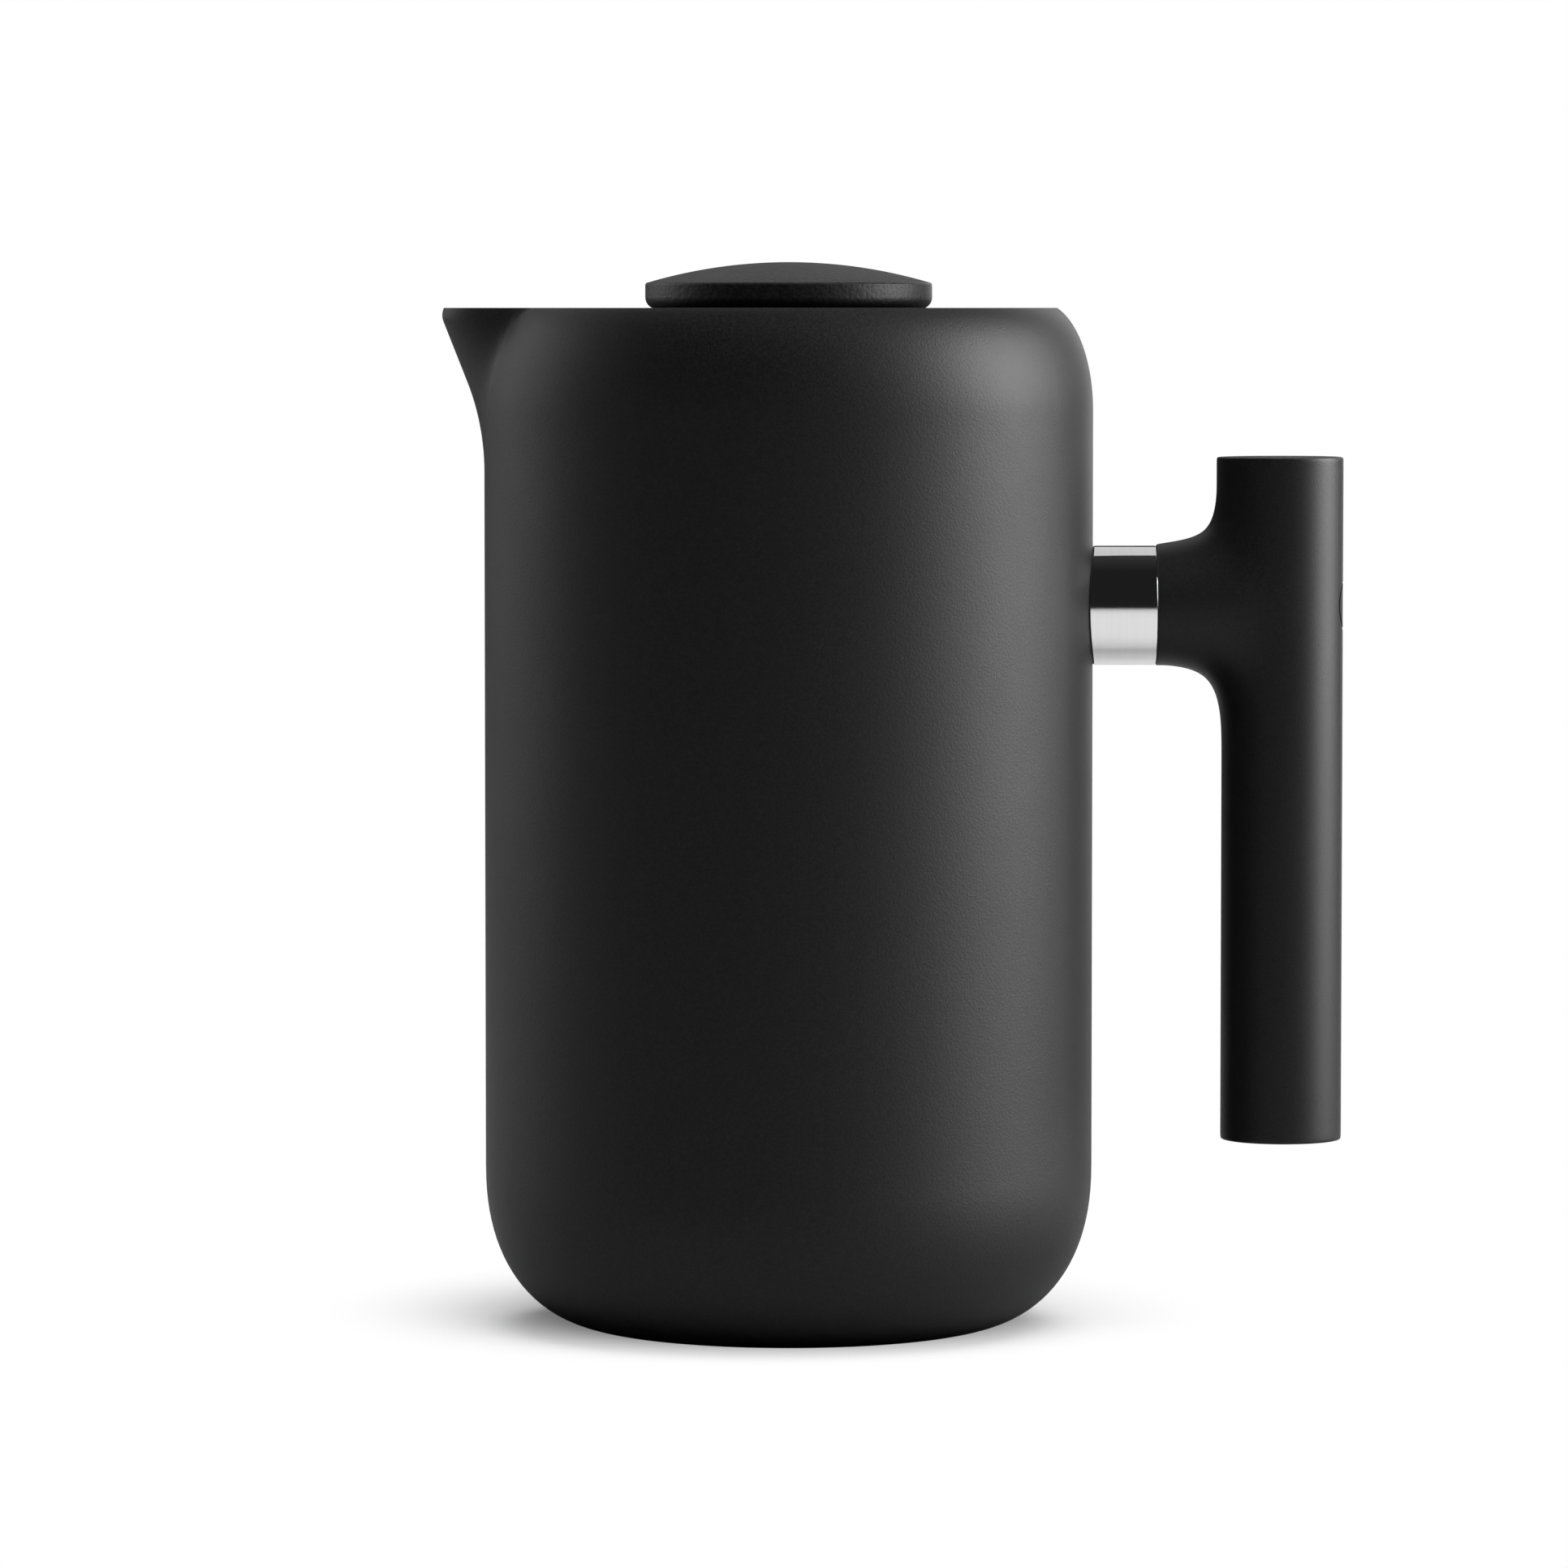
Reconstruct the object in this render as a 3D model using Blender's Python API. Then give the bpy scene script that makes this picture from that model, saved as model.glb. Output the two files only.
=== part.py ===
"""An insulated French press: a double-walled steel vessel with a spout and a bolted handle, a lift-out
lid, and a plunger whose rod slides through the lid.

Metres, +Z up. The origin is on the floor, on the vessel's axis. The handle is at +X, the spout at -X.
The plunger is pressed down, so its knob rests on the lid."""

import math

import bmesh
import bpy
from mathutils import Vector

# Clearance between two pieces that touch
GAP = 0.0003

# Vessel: outer shell
BODY_RADIUS = 0.052
RIM_HEIGHT = 0.175
SHELL_WALL = 0.0008
BASE_FLAT_RADIUS = 0.02925
BASE_CORNER_HEIGHT = 0.028
BASE_CORNER_FULLNESS = 2.26
SHOULDER_DROP = 0.0175
SHOULDER_RISE = 0.0183

# Spout, pressed out of the shell and the liner
SPOUT_DEPTH = 0.028
SPOUT_BEND_RADIUS = 0.042
SPOUT_LEAN = math.radians(19.5)
SPOUT_HALF_ANGLE = math.radians(17.8)
SPOUT_FOOT_SHARE = 0.45
CHANNEL_DEPTH = 0.024
CHANNEL_NARROWER = 0.88

# Vessel: liner and base
LINER_BORE_RADIUS = 0.0439
LINER_WALL = 0.0008
LINER_UNDERSIDE = 0.007
LINER_CORNER_RADIUS = 0.014
PAD_PROUD = 0.0004
PAD_THICKNESS = 0.0013
BASE_OPENING_RADIUS = 0.027
BASE_CUP_RADIUS = 0.0315
BASE_CUP_WALL = 0.0008
DIMPLE_RADIUS = 0.005
DIMPLE_RISE = 0.0014
SEAL_HOLE_RADIUS = 0.0015
GETTER_RADIUS = 0.004
GETTER_THICKNESS = 0.0016
GETTER_OFFSET = 0.015

# Handle
NECK_HEIGHT = 0.1242
GRIP_RADIUS = 0.01035
NECK_SLIMMER = 0.0001
FINGER_GAP = 0.02215
GRIP_BOTTOM = 0.0325
GRIP_TOP = 0.1496
GRIP_EDGE = 0.0007
NECK_FILLET_LENGTH = 0.0075
NECK_FILLET_HEIGHT = 0.0085
GASKET_THICKNESS = 0.0004
COLLAR_LENGTH = 0.0107
COLLAR_WALL = 0.0017
BOSS_LENGTH = 0.0098
BOSS_HALF_WIDTH = 0.005
BOLT_RADIUS = 0.002
BOLT_HEAD_RADIUS = 0.0035
BOLT_HEAD_HEIGHT = 0.0026
BOLT_SOCKET_RADIUS = 0.0017
BOLT_SOCKET_DEPTH = 0.0015
BOLT_TIP_DEPTH = 0.0063
BOLT_SEAT_DEPTH = 0.0095
WASHER_THICKNESS = 0.0008
PLUG_RADIUS = 0.004
PLUG_LENGTH = 0.0065

# Lid
POUR_GAP = 0.0025
LID_CAP_THICKNESS = 0.003
LID_CAP_EDGE = 0.0008
LID_BELOW_RIM = 0.0005
SKIRT_INSET = 0.001
SKIRT_WALL = 0.0016
SKIRT_DEPTH = 0.0205
FLANGE_CLEARANCE = 0.0005
FLANGE_THICKNESS = 0.0017
UPPER_FLANGE_THICKNESS = 0.0012
LID_PLATE_THICKNESS = 0.0015
LID_BOSS_WALL = 0.0025
LID_BOSS_DEPTH = 0.0112
LID_BOSS_LIP = 0.0012
SLOT_COUNT = 20
SLOT_WIDTH = 0.0028
SLOT_HEIGHT = 0.0065
LID_GASKET_HEIGHT = 0.0035
LID_GASKET_LIP = 0.0007
LID_SCREW_COUNT = 3
LID_SCREW_RADIUS = 0.0013
LID_SCREW_HEAD_RADIUS = 0.0028
LID_SCREW_HEAD_HEIGHT = 0.0015
LID_SCREW_BITE = 0.002
LID_SCREW_SLOT = 0.0007
BUSH_WALL = 0.0014

# Plunger: rod and knob
ROD_RADIUS = 0.0025
ROD_RUNNING_CLEARANCE = 0.0003
ROD_THREAD_RADIUS = 0.002
ROD_FLANGE_WIDTH = 0.0025
ROD_FLANGE_THICKNESS = 0.002
KNOB_RADIUS = 0.0245
KNOB_HEIGHT = 0.008
KNOB_DOME_RADIUS = 0.085
KNOB_EDGE = 0.0004
KNOB_FILLET = 0.002
KNOB_WALL = 0.0018
KNOB_LIP_WIDTH = 0.0009
KNOB_BOSS_WALL = 0.002
KNOB_BASE_THICKNESS = 0.0014
INSERT_WALL = 0.0009

# Plunger: filter stack, from the cross plate up to the rod's flange
STACK_BOTTOM = 0.0235
FILTER_PLATE_THICKNESS = 0.0009
MESH_THICKNESS = 0.0004
FILTER_CLEARANCE = 0.0004
SPRING_THICKNESS = 0.003
CROSS_PLATE_INSET = 0.0029
TOP_PLATE_HOLE_RADIUS = 0.004
TOP_PLATE_HOLES = (6, 12)
CROSS_PLATE_HOLE_RADIUS = 0.0062
CROSS_PLATE_HOLES = (6,)
HOLE_RING_TURN = math.radians(2.3)
NUT_RADIUS = 0.0065
NUT_HEIGHT = 0.003
NUT_KNURLS = 12
NUT_KNURL_DEPTH = 0.0006

# Facets
ROUND = 36
SMALL_ROUND = 12
HOLE_ROUND = 8
NECK_ROUND = 28
SPOUT_COLUMN = math.radians(2.9)
BODY_COLUMNS_EACH_SIDE = 13
CORNER_STEPS = 6
ARC_STEPS = 4
MERGE = 1e-7


# Places that follow from the sizes
SHELL_BASE = PAD_PROUD
SHOULDER_START = RIM_HEIGHT - SHOULDER_DROP
LINER_RADIUS = LINER_BORE_RADIUS + LINER_WALL
RIM_RADIUS = LINER_RADIUS + GAP + SHELL_WALL
SHOULDER_INSET = (BODY_RADIUS - RIM_RADIUS) / (1 - math.sqrt(1 - (SHOULDER_DROP / SHOULDER_RISE) ** 2))
BASE_CUP_BOTTOM = SHELL_BASE + SHELL_WALL + 2 * GAP
NECK_RADIUS = GRIP_RADIUS - NECK_SLIMMER
GRIP_AXIS = BODY_RADIUS + FINGER_GAP + GRIP_RADIUS
COLLAR_START = BODY_RADIUS + 2 * GAP + GASKET_THICKNESS
COLLAR_END = BODY_RADIUS + COLLAR_LENGTH
BOSS_END = BODY_RADIUS + BOSS_LENGTH
BOLT_TIP = BOSS_END - BOLT_TIP_DEPTH
BOLT_SEAT = GRIP_AXIS - BOLT_SEAT_DEPTH
NECK_START = COLLAR_END + 2 * GAP + GASKET_THICKNESS
SPIGOT_RADIUS = NECK_RADIUS - COLLAR_WALL - GAP
ROD_HOLE_RADIUS = ROD_RADIUS + ROD_RUNNING_CLEARANCE
BUSH_RADIUS = ROD_HOLE_RADIUS + BUSH_WALL
LID_CAP_RADIUS = LINER_BORE_RADIUS - POUR_GAP
SKIRT_RADIUS = LID_CAP_RADIUS - SKIRT_INSET
LID_TOP = RIM_HEIGHT - LID_BELOW_RIM
LID_CAP_BOTTOM = LID_TOP - LID_CAP_THICKNESS
LID_PLATE_TOP = LID_CAP_BOTTOM - GAP
LID_PLATE_BOTTOM = LID_PLATE_TOP - LID_PLATE_THICKNESS
SKIRT_BOTTOM = LID_TOP - SKIRT_DEPTH
FLANGE_RADIUS = LINER_BORE_RADIUS - FLANGE_CLEARANCE
GASKET_BOTTOM = SKIRT_BOTTOM + FLANGE_THICKNESS + GAP
GASKET_TOP = GASKET_BOTTOM + LID_GASKET_HEIGHT
UPPER_FLANGE_BOTTOM = GASKET_TOP + GAP
BOSS_BORE_RADIUS = BUSH_RADIUS + GAP
LID_BOSS_RADIUS = BOSS_BORE_RADIUS + LID_BOSS_WALL
LID_SCREW_CIRCLE = (LID_BOSS_RADIUS + SKIRT_RADIUS - SKIRT_WALL) / 2
LID_BOSS_BOTTOM = LID_PLATE_TOP - LID_BOSS_DEPTH
BUSH_BOTTOM = LID_BOSS_BOTTOM + LID_BOSS_LIP + GAP
ROD_FLANGE_RADIUS = ROD_RADIUS + ROD_FLANGE_WIDTH
KNOB_BOTTOM = LID_TOP + GAP
KNOB_TOP = KNOB_BOTTOM + KNOB_HEIGHT
KNOB_BASE_TOP = KNOB_BOTTOM + KNOB_BASE_THICKNESS
KNOB_LIP_RADIUS = KNOB_RADIUS - KNOB_FILLET - KNOB_LIP_WIDTH
INSERT_RADIUS = ROD_RADIUS + GAP + INSERT_WALL
KNOB_BOSS_RADIUS = INSERT_RADIUS + GAP + KNOB_BOSS_WALL
INSERT_BOTTOM = KNOB_BASE_TOP + GAP
INSERT_TOP = KNOB_TOP - KNOB_WALL - 2 * GAP
ROD_TOP = INSERT_TOP - GAP
MESH_BOTTOM = STACK_BOTTOM + FILTER_PLATE_THICKNESS + GAP
TOP_PLATE_BOTTOM = MESH_BOTTOM + MESH_THICKNESS + GAP
ROD_SHOULDER = TOP_PLATE_BOTTOM + FILTER_PLATE_THICKNESS + GAP
CROSS_PLATE_RADIUS = LINER_BORE_RADIUS - CROSS_PLATE_INSET
SPRING_OUTER_RADIUS = LINER_BORE_RADIUS - FILTER_CLEARANCE
SPRING_CENTRE = TOP_PLATE_BOTTOM + SPRING_THICKNESS / 2
STACK_HOLE_RADIUS = ROD_THREAD_RADIUS + GAP
NUT_TOP = STACK_BOTTOM - GAP
ROD_TIP = NUT_TOP - NUT_HEIGHT + GAP


def clear_scene():
    for obj in list(bpy.data.objects):
        bpy.data.objects.remove(obj, do_unlink=True)


def make_material(name, colour, roughness, metallic=0.0):
    material = bpy.data.materials.new(name)
    material.use_nodes = True
    shader = material.node_tree.nodes["Principled BSDF"]
    shader.inputs["Base Color"].default_value = (*colour, 1.0)
    shader.inputs["Roughness"].default_value = roughness
    shader.inputs["Metallic"].default_value = metallic
    return material


def make_empty(name, parent=None, height=0.0):
    """An empty on the vessel's axis, which carries the pieces of one moving body."""
    empty = bpy.data.objects.new(name, None)
    bpy.context.scene.collection.objects.link(empty)
    empty.empty_display_size = 0.02
    place = Vector((0.0, 0.0, height))
    if parent:
        empty.parent = parent
        place -= parent_place(parent)
    empty.location = place
    return empty


def parent_place(parent):
    place = Vector((0.0, 0.0, 0.0))
    while parent:
        place += parent.location
        parent = parent.parent
    return place


def add_object(name, bm, parent, material=None, closed=True):
    """Puts a bmesh, given in world coordinates, under its parent, and shades it smooth."""
    bmesh.ops.remove_doubles(bm, verts=bm.verts, dist=MERGE)
    if closed:
        bmesh.ops.recalc_face_normals(bm, faces=bm.faces)
    mesh = bpy.data.meshes.new(name)
    bmesh.ops.translate(bm, verts=bm.verts, vec=-parent_place(parent))
    bm.to_mesh(mesh)
    bm.free()
    mesh.shade_smooth()
    mesh.set_sharp_from_angle(angle=math.radians(30))
    obj = bpy.data.objects.new(name, mesh)
    bpy.context.scene.collection.objects.link(obj)
    obj.parent = parent
    if material:
        mesh.materials.append(material)
    return obj


def arc(centre, radius, start, end, steps=ARC_STEPS):
    """Points along an arc from one angle to another, in degrees, both ends included."""
    angles = [math.radians(start + (end - start) * i / steps) for i in range(steps + 1)]
    return [(centre[0] + radius * math.cos(a), centre[1] + radius * math.sin(a)) for a in angles]


def turn_profile(bm, profile, segments, closed=True):
    """Spins an (r, z) profile about the Z axis. An open profile starts and ends on the axis."""
    verts = [bm.verts.new((r, 0.0, z)) for r, z in profile]
    edges = [bm.edges.new(pair) for pair in zip(verts, verts[1:])]
    if closed:
        edges.append(bm.edges.new((verts[-1], verts[0])))
    bmesh.ops.spin(
        bm, geom=verts + edges, cent=(0, 0, 0), axis=(0, 0, 1), angle=math.tau, steps=segments, use_merge=True
    )


def turned(profile, segments=ROUND, closed=True, centre=(0.0, 0.0)):
    bm = bmesh.new()
    turn_profile(bm, profile, segments, closed)
    bmesh.ops.translate(bm, verts=bm.verts, vec=(*centre, 0.0))
    return bm


def turned_along_x(profile, segments=ROUND, closed=True):
    """Spins an (r, x) profile about the neck's axis, which runs along +X at the neck's height."""
    bm = turned(profile, segments, closed)
    for vert in bm.verts:
        x, y, z = vert.co
        vert.co = (z, y, NECK_HEIGHT - x)
    return bm


def tube_profile(inner, outer, bottom, top):
    return [(outer, top), (outer, bottom), (inner, bottom), (inner, top)]


def rod_profile(radius, bottom, top):
    return [(0.0, top), (radius, top), (radius, bottom), (0.0, bottom)]


def box(low, high):
    bm = bmesh.new()
    bmesh.ops.create_cube(bm, size=1.0)
    low, high = Vector(low), Vector(high)
    for vert in bm.verts:
        vert.co = (low + high) / 2 + vert.co * (high - low)
    return bm


def add_helper(name, bm, parent):
    """A cutter, or a shape that joins another: it isn't a piece of the object."""
    helper = add_object(name, bm, parent)
    helper.hide_render = True
    helper.display_type = "WIRE"
    return helper


def add_boolean(obj, helper, operation="DIFFERENCE"):
    modifier = obj.modifiers.new(helper.name, "BOOLEAN")
    modifier.operation = operation
    modifier.solver = "EXACT"
    modifier.object = helper


def body_cutter(name, radius, parent):
    """A tall cylinder on the vessel's axis, which gives a piece its saddle."""
    return add_helper(name, turned(rod_profile(radius, 0.0, RIM_HEIGHT), 2 * ROUND, closed=False), parent)


# Vessel


def column_angles():
    """Angles of the body's columns, measured from the spout at -X and closer together across it."""
    spout_columns = int(SPOUT_HALF_ANGLE / SPOUT_COLUMN)
    half = [i * SPOUT_COLUMN for i in range(spout_columns + 1)]
    rest = math.pi - half[-1]
    half += [half[-1] + rest * (i + 1) / BODY_COLUMNS_EACH_SIDE for i in range(BODY_COLUMNS_EACH_SIDE)]
    return half + [-a for a in reversed(half[1:-1])]


def spout_weight(angle, share_of_depth, narrower=1.0):
    """How far a column is pushed out: 1 on the spout's middle line and 0 at its edge, which narrows down."""
    half_angle = SPOUT_HALF_ANGLE * narrower
    half_angle *= 1 - (1 - SPOUT_FOOT_SHARE) * share_of_depth
    across = min(1.0, abs(angle) / half_angle)
    return (1 - across**2) ** 1.5


def skin(rows):
    """An open surface facing out, from rows of (height, radius at each column), bottom first.

    A row whose radius is 0 is a pole."""
    angles = column_angles()
    bm = bmesh.new()
    rings = []
    for height, radius_at in rows:
        if radius_at(0.0) == 0.0:
            rings.append([bm.verts.new((0.0, 0.0, height))] * len(angles))
            continue
        ring = []
        for angle in angles:
            radius = radius_at(angle)
            ring.append(bm.verts.new((-radius * math.cos(angle), radius * math.sin(angle), height)))
        rings.append(ring)
    for lower, upper in zip(rings, rings[1:]):
        for i in range(len(angles)):
            j = (i + 1) % len(angles)
            corners = [lower[j], lower[i], upper[i], upper[j]]
            bm.faces.new(list(dict.fromkeys(corners)))
    return bm


def add_wall(obj, thickness):
    """Gives an open surface its wall, inwards, so the surface stays the outside."""
    modifier = obj.modifiers.new("wall", "SOLIDIFY")
    modifier.thickness = thickness
    modifier.offset = -1.0
    modifier.use_even_offset = True
    modifier.use_quality_normals = True


def shoulder_radius(depth):
    """Radius of the turned shell at a depth below the rim."""
    if depth >= SHOULDER_DROP:
        return BODY_RADIUS
    rise = (SHOULDER_DROP - depth) / SHOULDER_RISE
    return BODY_RADIUS - SHOULDER_INSET * (1 - math.sqrt(1 - rise**2))


def spout_radius(depth):
    """Radius of the spout's middle line: an arc that leaves the wall, then a straight lean to the tip."""
    arc_rise = SPOUT_BEND_RADIUS * math.sin(SPOUT_LEAN)
    rise = SPOUT_DEPTH - depth
    if rise <= arc_rise:
        return BODY_RADIUS + SPOUT_BEND_RADIUS - math.sqrt(SPOUT_BEND_RADIUS**2 - rise**2)
    arc_out = SPOUT_BEND_RADIUS * (1 - math.cos(SPOUT_LEAN))
    return BODY_RADIUS + arc_out + (rise - arc_rise) * math.tan(SPOUT_LEAN)


def shell_radius_at(depth):
    plain = shoulder_radius(depth)
    reach = spout_radius(depth) - plain

    def radius_at(angle):
        return plain + reach * spout_weight(angle, depth / SPOUT_DEPTH)

    return radius_at


def plain_radius(radius):
    return lambda angle: radius


def shell_rows():
    rows = [(SHELL_BASE, plain_radius(BASE_OPENING_RADIUS))]
    power = 2 / BASE_CORNER_FULLNESS
    for i in range(CORNER_STEPS + 1):
        angle = math.pi / 2 * i / CORNER_STEPS
        out = max(0.0, math.sin(angle)) ** power
        up = 1 - max(0.0, math.cos(angle)) ** power
        radius = BASE_FLAT_RADIUS + (BODY_RADIUS - BASE_FLAT_RADIUS) * out
        rows.append((SHELL_BASE + BASE_CORNER_HEIGHT * up, plain_radius(radius)))
    rows.append((RIM_HEIGHT - SPOUT_DEPTH, plain_radius(BODY_RADIUS)))
    lower_steps = 2
    for i in range(1, lower_steps + 1):
        depth = SPOUT_DEPTH + (SHOULDER_DROP - SPOUT_DEPTH) * i / lower_steps
        rows.append((RIM_HEIGHT - depth, shell_radius_at(depth)))
    upper_steps = 6
    for i in range(1, upper_steps + 1):
        depth = SHOULDER_DROP * (1 - math.sin(math.pi / 2 * i / upper_steps))
        rows.append((RIM_HEIGHT - depth, shell_radius_at(depth)))
    return rows


def make_outer_shell(parent, coat):
    shell = add_object("outer_shell", skin(shell_rows()), parent, coat, closed=False)
    add_wall(shell, SHELL_WALL)


def liner_radius_at(depth):
    """The liner's spout channel: it lines the shell's spout at the rim and falls away from it below."""
    tip = spout_radius(0.0) - SHELL_WALL / math.cos(SPOUT_LEAN) - GAP
    share = depth / CHANNEL_DEPTH
    reach = (tip - LINER_RADIUS) * (1 - share) ** 1.3

    def radius_at(angle):
        return LINER_RADIUS + reach * spout_weight(angle, share, CHANNEL_NARROWER)

    return radius_at


def make_inner_liner(parent, coat):
    corner = LINER_CORNER_RADIUS
    centre = (LINER_RADIUS - corner, LINER_UNDERSIDE + corner)
    rows = [(LINER_UNDERSIDE, plain_radius(0.0))]
    rows += [(z, plain_radius(r)) for r, z in arc(centre, corner, -90, 0)]
    channel_steps = 5
    for i in range(channel_steps + 1):
        depth = CHANNEL_DEPTH * (1 - math.sin(math.pi / 2 * i / channel_steps))
        rows.append((RIM_HEIGHT - depth, liner_radius_at(depth)))
    liner = add_object("inner_liner", skin(rows), parent, coat, closed=False)
    add_wall(liner, LINER_WALL)


def make_base(parent, steel, silicone, glass, alloy):
    """The cup that closes the shell's foot, the vacuum seal in its dimple, the getter and the rubber pad."""
    bottom = BASE_CUP_BOTTOM
    top = bottom + BASE_CUP_WALL
    cup = [
        (BASE_CUP_RADIUS, top),
        (BASE_CUP_RADIUS, bottom),
        (DIMPLE_RADIUS, bottom),
        (DIMPLE_RADIUS, bottom + DIMPLE_RISE),
        (SEAL_HOLE_RADIUS, bottom + DIMPLE_RISE),
        (SEAL_HOLE_RADIUS, top + DIMPLE_RISE),
        (DIMPLE_RADIUS + BASE_CUP_WALL, top + DIMPLE_RISE),
        (DIMPLE_RADIUS + BASE_CUP_WALL, top),
    ]
    add_object("base_cup", turned(cup), parent, steel)
    stem = SEAL_HOLE_RADIUS - GAP
    bead_top = bottom + DIMPLE_RISE - GAP
    bead = [
        (0.0, top + DIMPLE_RISE),
        (stem, top + DIMPLE_RISE),
        (stem, bead_top),
        (DIMPLE_RADIUS - GAP, bead_top),
        (DIMPLE_RADIUS - GAP, bottom + GAP),
        (0.0, bottom),
    ]
    add_object("vacuum_seal", turned(bead, SMALL_ROUND, closed=False), parent, glass)
    pellet = rod_profile(GETTER_RADIUS, top + GAP, top + GAP + GETTER_THICKNESS)
    pellet_mesh = turned(pellet, SMALL_ROUND, closed=False, centre=(GETTER_OFFSET, 0.0))
    add_object("vacuum_getter", pellet_mesh, parent, alloy)
    pad_radius = BASE_OPENING_RADIUS - GAP
    pad_top = min(PAD_THICKNESS, BASE_CUP_BOTTOM - GAP)
    pad = [(0.0, pad_top), (pad_radius, pad_top), (pad_radius, GAP), (pad_radius - GAP, 0.0), (0.0, 0.0)]
    add_object("base_pad", turned(pad, closed=False), parent, silicone)


# Handle


def make_handle_boss(parent, steel):
    low = (BODY_RADIUS / 2, -BOSS_HALF_WIDTH, NECK_HEIGHT - BOSS_HALF_WIDTH)
    high = (BOSS_END, BOSS_HALF_WIDTH, NECK_HEIGHT + BOSS_HALF_WIDTH)
    boss = add_object("handle_boss", box(low, high), parent, steel)
    thread = rod_profile(BOLT_RADIUS + GAP, BOLT_TIP - GAP, BOSS_END + BOSS_HALF_WIDTH)
    add_boolean(boss, body_cutter("boss_saddle", BODY_RADIUS + GAP, parent))
    add_boolean(boss, add_helper("boss_thread", turned_along_x(thread, SMALL_ROUND, closed=False), parent))


def make_collar(parent, steel, rubber):
    """The polished ring between the vessel and the handle, with a thin gasket at each end."""
    inner = NECK_RADIUS - COLLAR_WALL
    root = BODY_RADIUS - NECK_RADIUS
    collar = add_object("handle_collar", turned_along_x(tube_profile(inner, NECK_RADIUS, root, COLLAR_END)),
                        parent, steel)
    add_boolean(collar, body_cutter("collar_saddle", COLLAR_START, parent))
    seat = turned_along_x(tube_profile(inner, NECK_RADIUS, root, COLLAR_END))
    body_gasket = add_object("collar_gasket", seat, parent, rubber)
    ring = tube_profile(BODY_RADIUS + GAP + GASKET_THICKNESS, 2 * BODY_RADIUS, 0.0, RIM_HEIGHT)
    add_boolean(body_gasket, body_cutter("gasket_saddle", BODY_RADIUS + GAP, parent))
    add_boolean(body_gasket, add_helper("gasket_outside", turned(ring, 2 * ROUND), parent))
    start = COLLAR_END + GAP
    flat = tube_profile(inner, NECK_RADIUS, start, start + GASKET_THICKNESS)
    add_object("grip_gasket", turned_along_x(flat), parent, rubber)


def neck_loft():
    """The horizontal neck, whose height grows along a fillet until it meets the grip."""
    bm = bmesh.new()
    meets = GRIP_AXIS - GRIP_RADIUS
    stations = [(NECK_START, 0.0)]
    for i in range(ARC_STEPS + 1):
        angle = math.pi / 2 * i / ARC_STEPS
        along = meets - NECK_FILLET_LENGTH * (1 - math.sin(angle))
        stations.append((along, NECK_FILLET_HEIGHT * (1 - math.cos(angle))))
    stations.append((GRIP_AXIS, NECK_FILLET_HEIGHT))
    rings = []
    for x, extra in stations:
        ring = []
        for i in range(NECK_ROUND):
            angle = math.tau * i / NECK_ROUND
            y = NECK_RADIUS * math.cos(angle)
            z = (NECK_RADIUS + extra) * math.sin(angle)
            ring.append(bm.verts.new((x, y, NECK_HEIGHT + z)))
        rings.append(ring)
    for first, second in zip(rings, rings[1:]):
        for i in range(NECK_ROUND):
            j = (i + 1) % NECK_ROUND
            bm.faces.new((first[i], first[j], second[j], second[i]))
    bm.faces.new(rings[0])
    bm.faces.new(rings[-1])
    return bm


def make_handle(parent, plastic):
    """The one-piece T moulding: grip, neck and the spigot that the collar sleeves."""
    edge = GRIP_EDGE
    grip = [(0.0, GRIP_TOP)]
    grip += arc((GRIP_RADIUS - edge, GRIP_TOP - edge), edge, 90, 0, 3)
    grip += arc((GRIP_RADIUS - edge, GRIP_BOTTOM + edge), edge, 0, -90, 3)
    grip.append((0.0, GRIP_BOTTOM))
    handle = add_object("handle", turned(grip, closed=False, centre=(GRIP_AXIS, 0.0)), parent, plastic)
    spigot = rod_profile(SPIGOT_RADIUS, BODY_RADIUS - SPIGOT_RADIUS, GRIP_AXIS)
    socket_half = BOSS_HALF_WIDTH + GAP
    socket_low = (0.0, -socket_half, NECK_HEIGHT - socket_half)
    socket_high = (BOSS_END + GAP, socket_half, NECK_HEIGHT + socket_half)
    tunnel = rod_profile(BOLT_RADIUS + GAP, BOSS_END, BOLT_SEAT + GAP)
    counterbore = rod_profile(PLUG_RADIUS + GAP, BOLT_SEAT, GRIP_AXIS + 2 * GRIP_RADIUS)
    saddle = body_cutter("spigot_saddle", COLLAR_START + GAP, parent)
    add_boolean(handle, add_helper("neck_shape", neck_loft(), parent), "UNION")
    spigot_mesh = turned_along_x(spigot, SMALL_ROUND, closed=False)
    add_boolean(handle, add_helper("spigot_shape", spigot_mesh, parent), "UNION")
    add_boolean(handle, saddle)
    add_boolean(handle, add_helper("boss_socket", box(socket_low, socket_high), parent))
    add_boolean(handle, add_helper("bolt_tunnel", turned_along_x(tunnel, SMALL_ROUND, closed=False), parent))
    bore_mesh = turned_along_x(counterbore, SMALL_ROUND, closed=False)
    add_boolean(handle, add_helper("bolt_counterbore", bore_mesh, parent))


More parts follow.
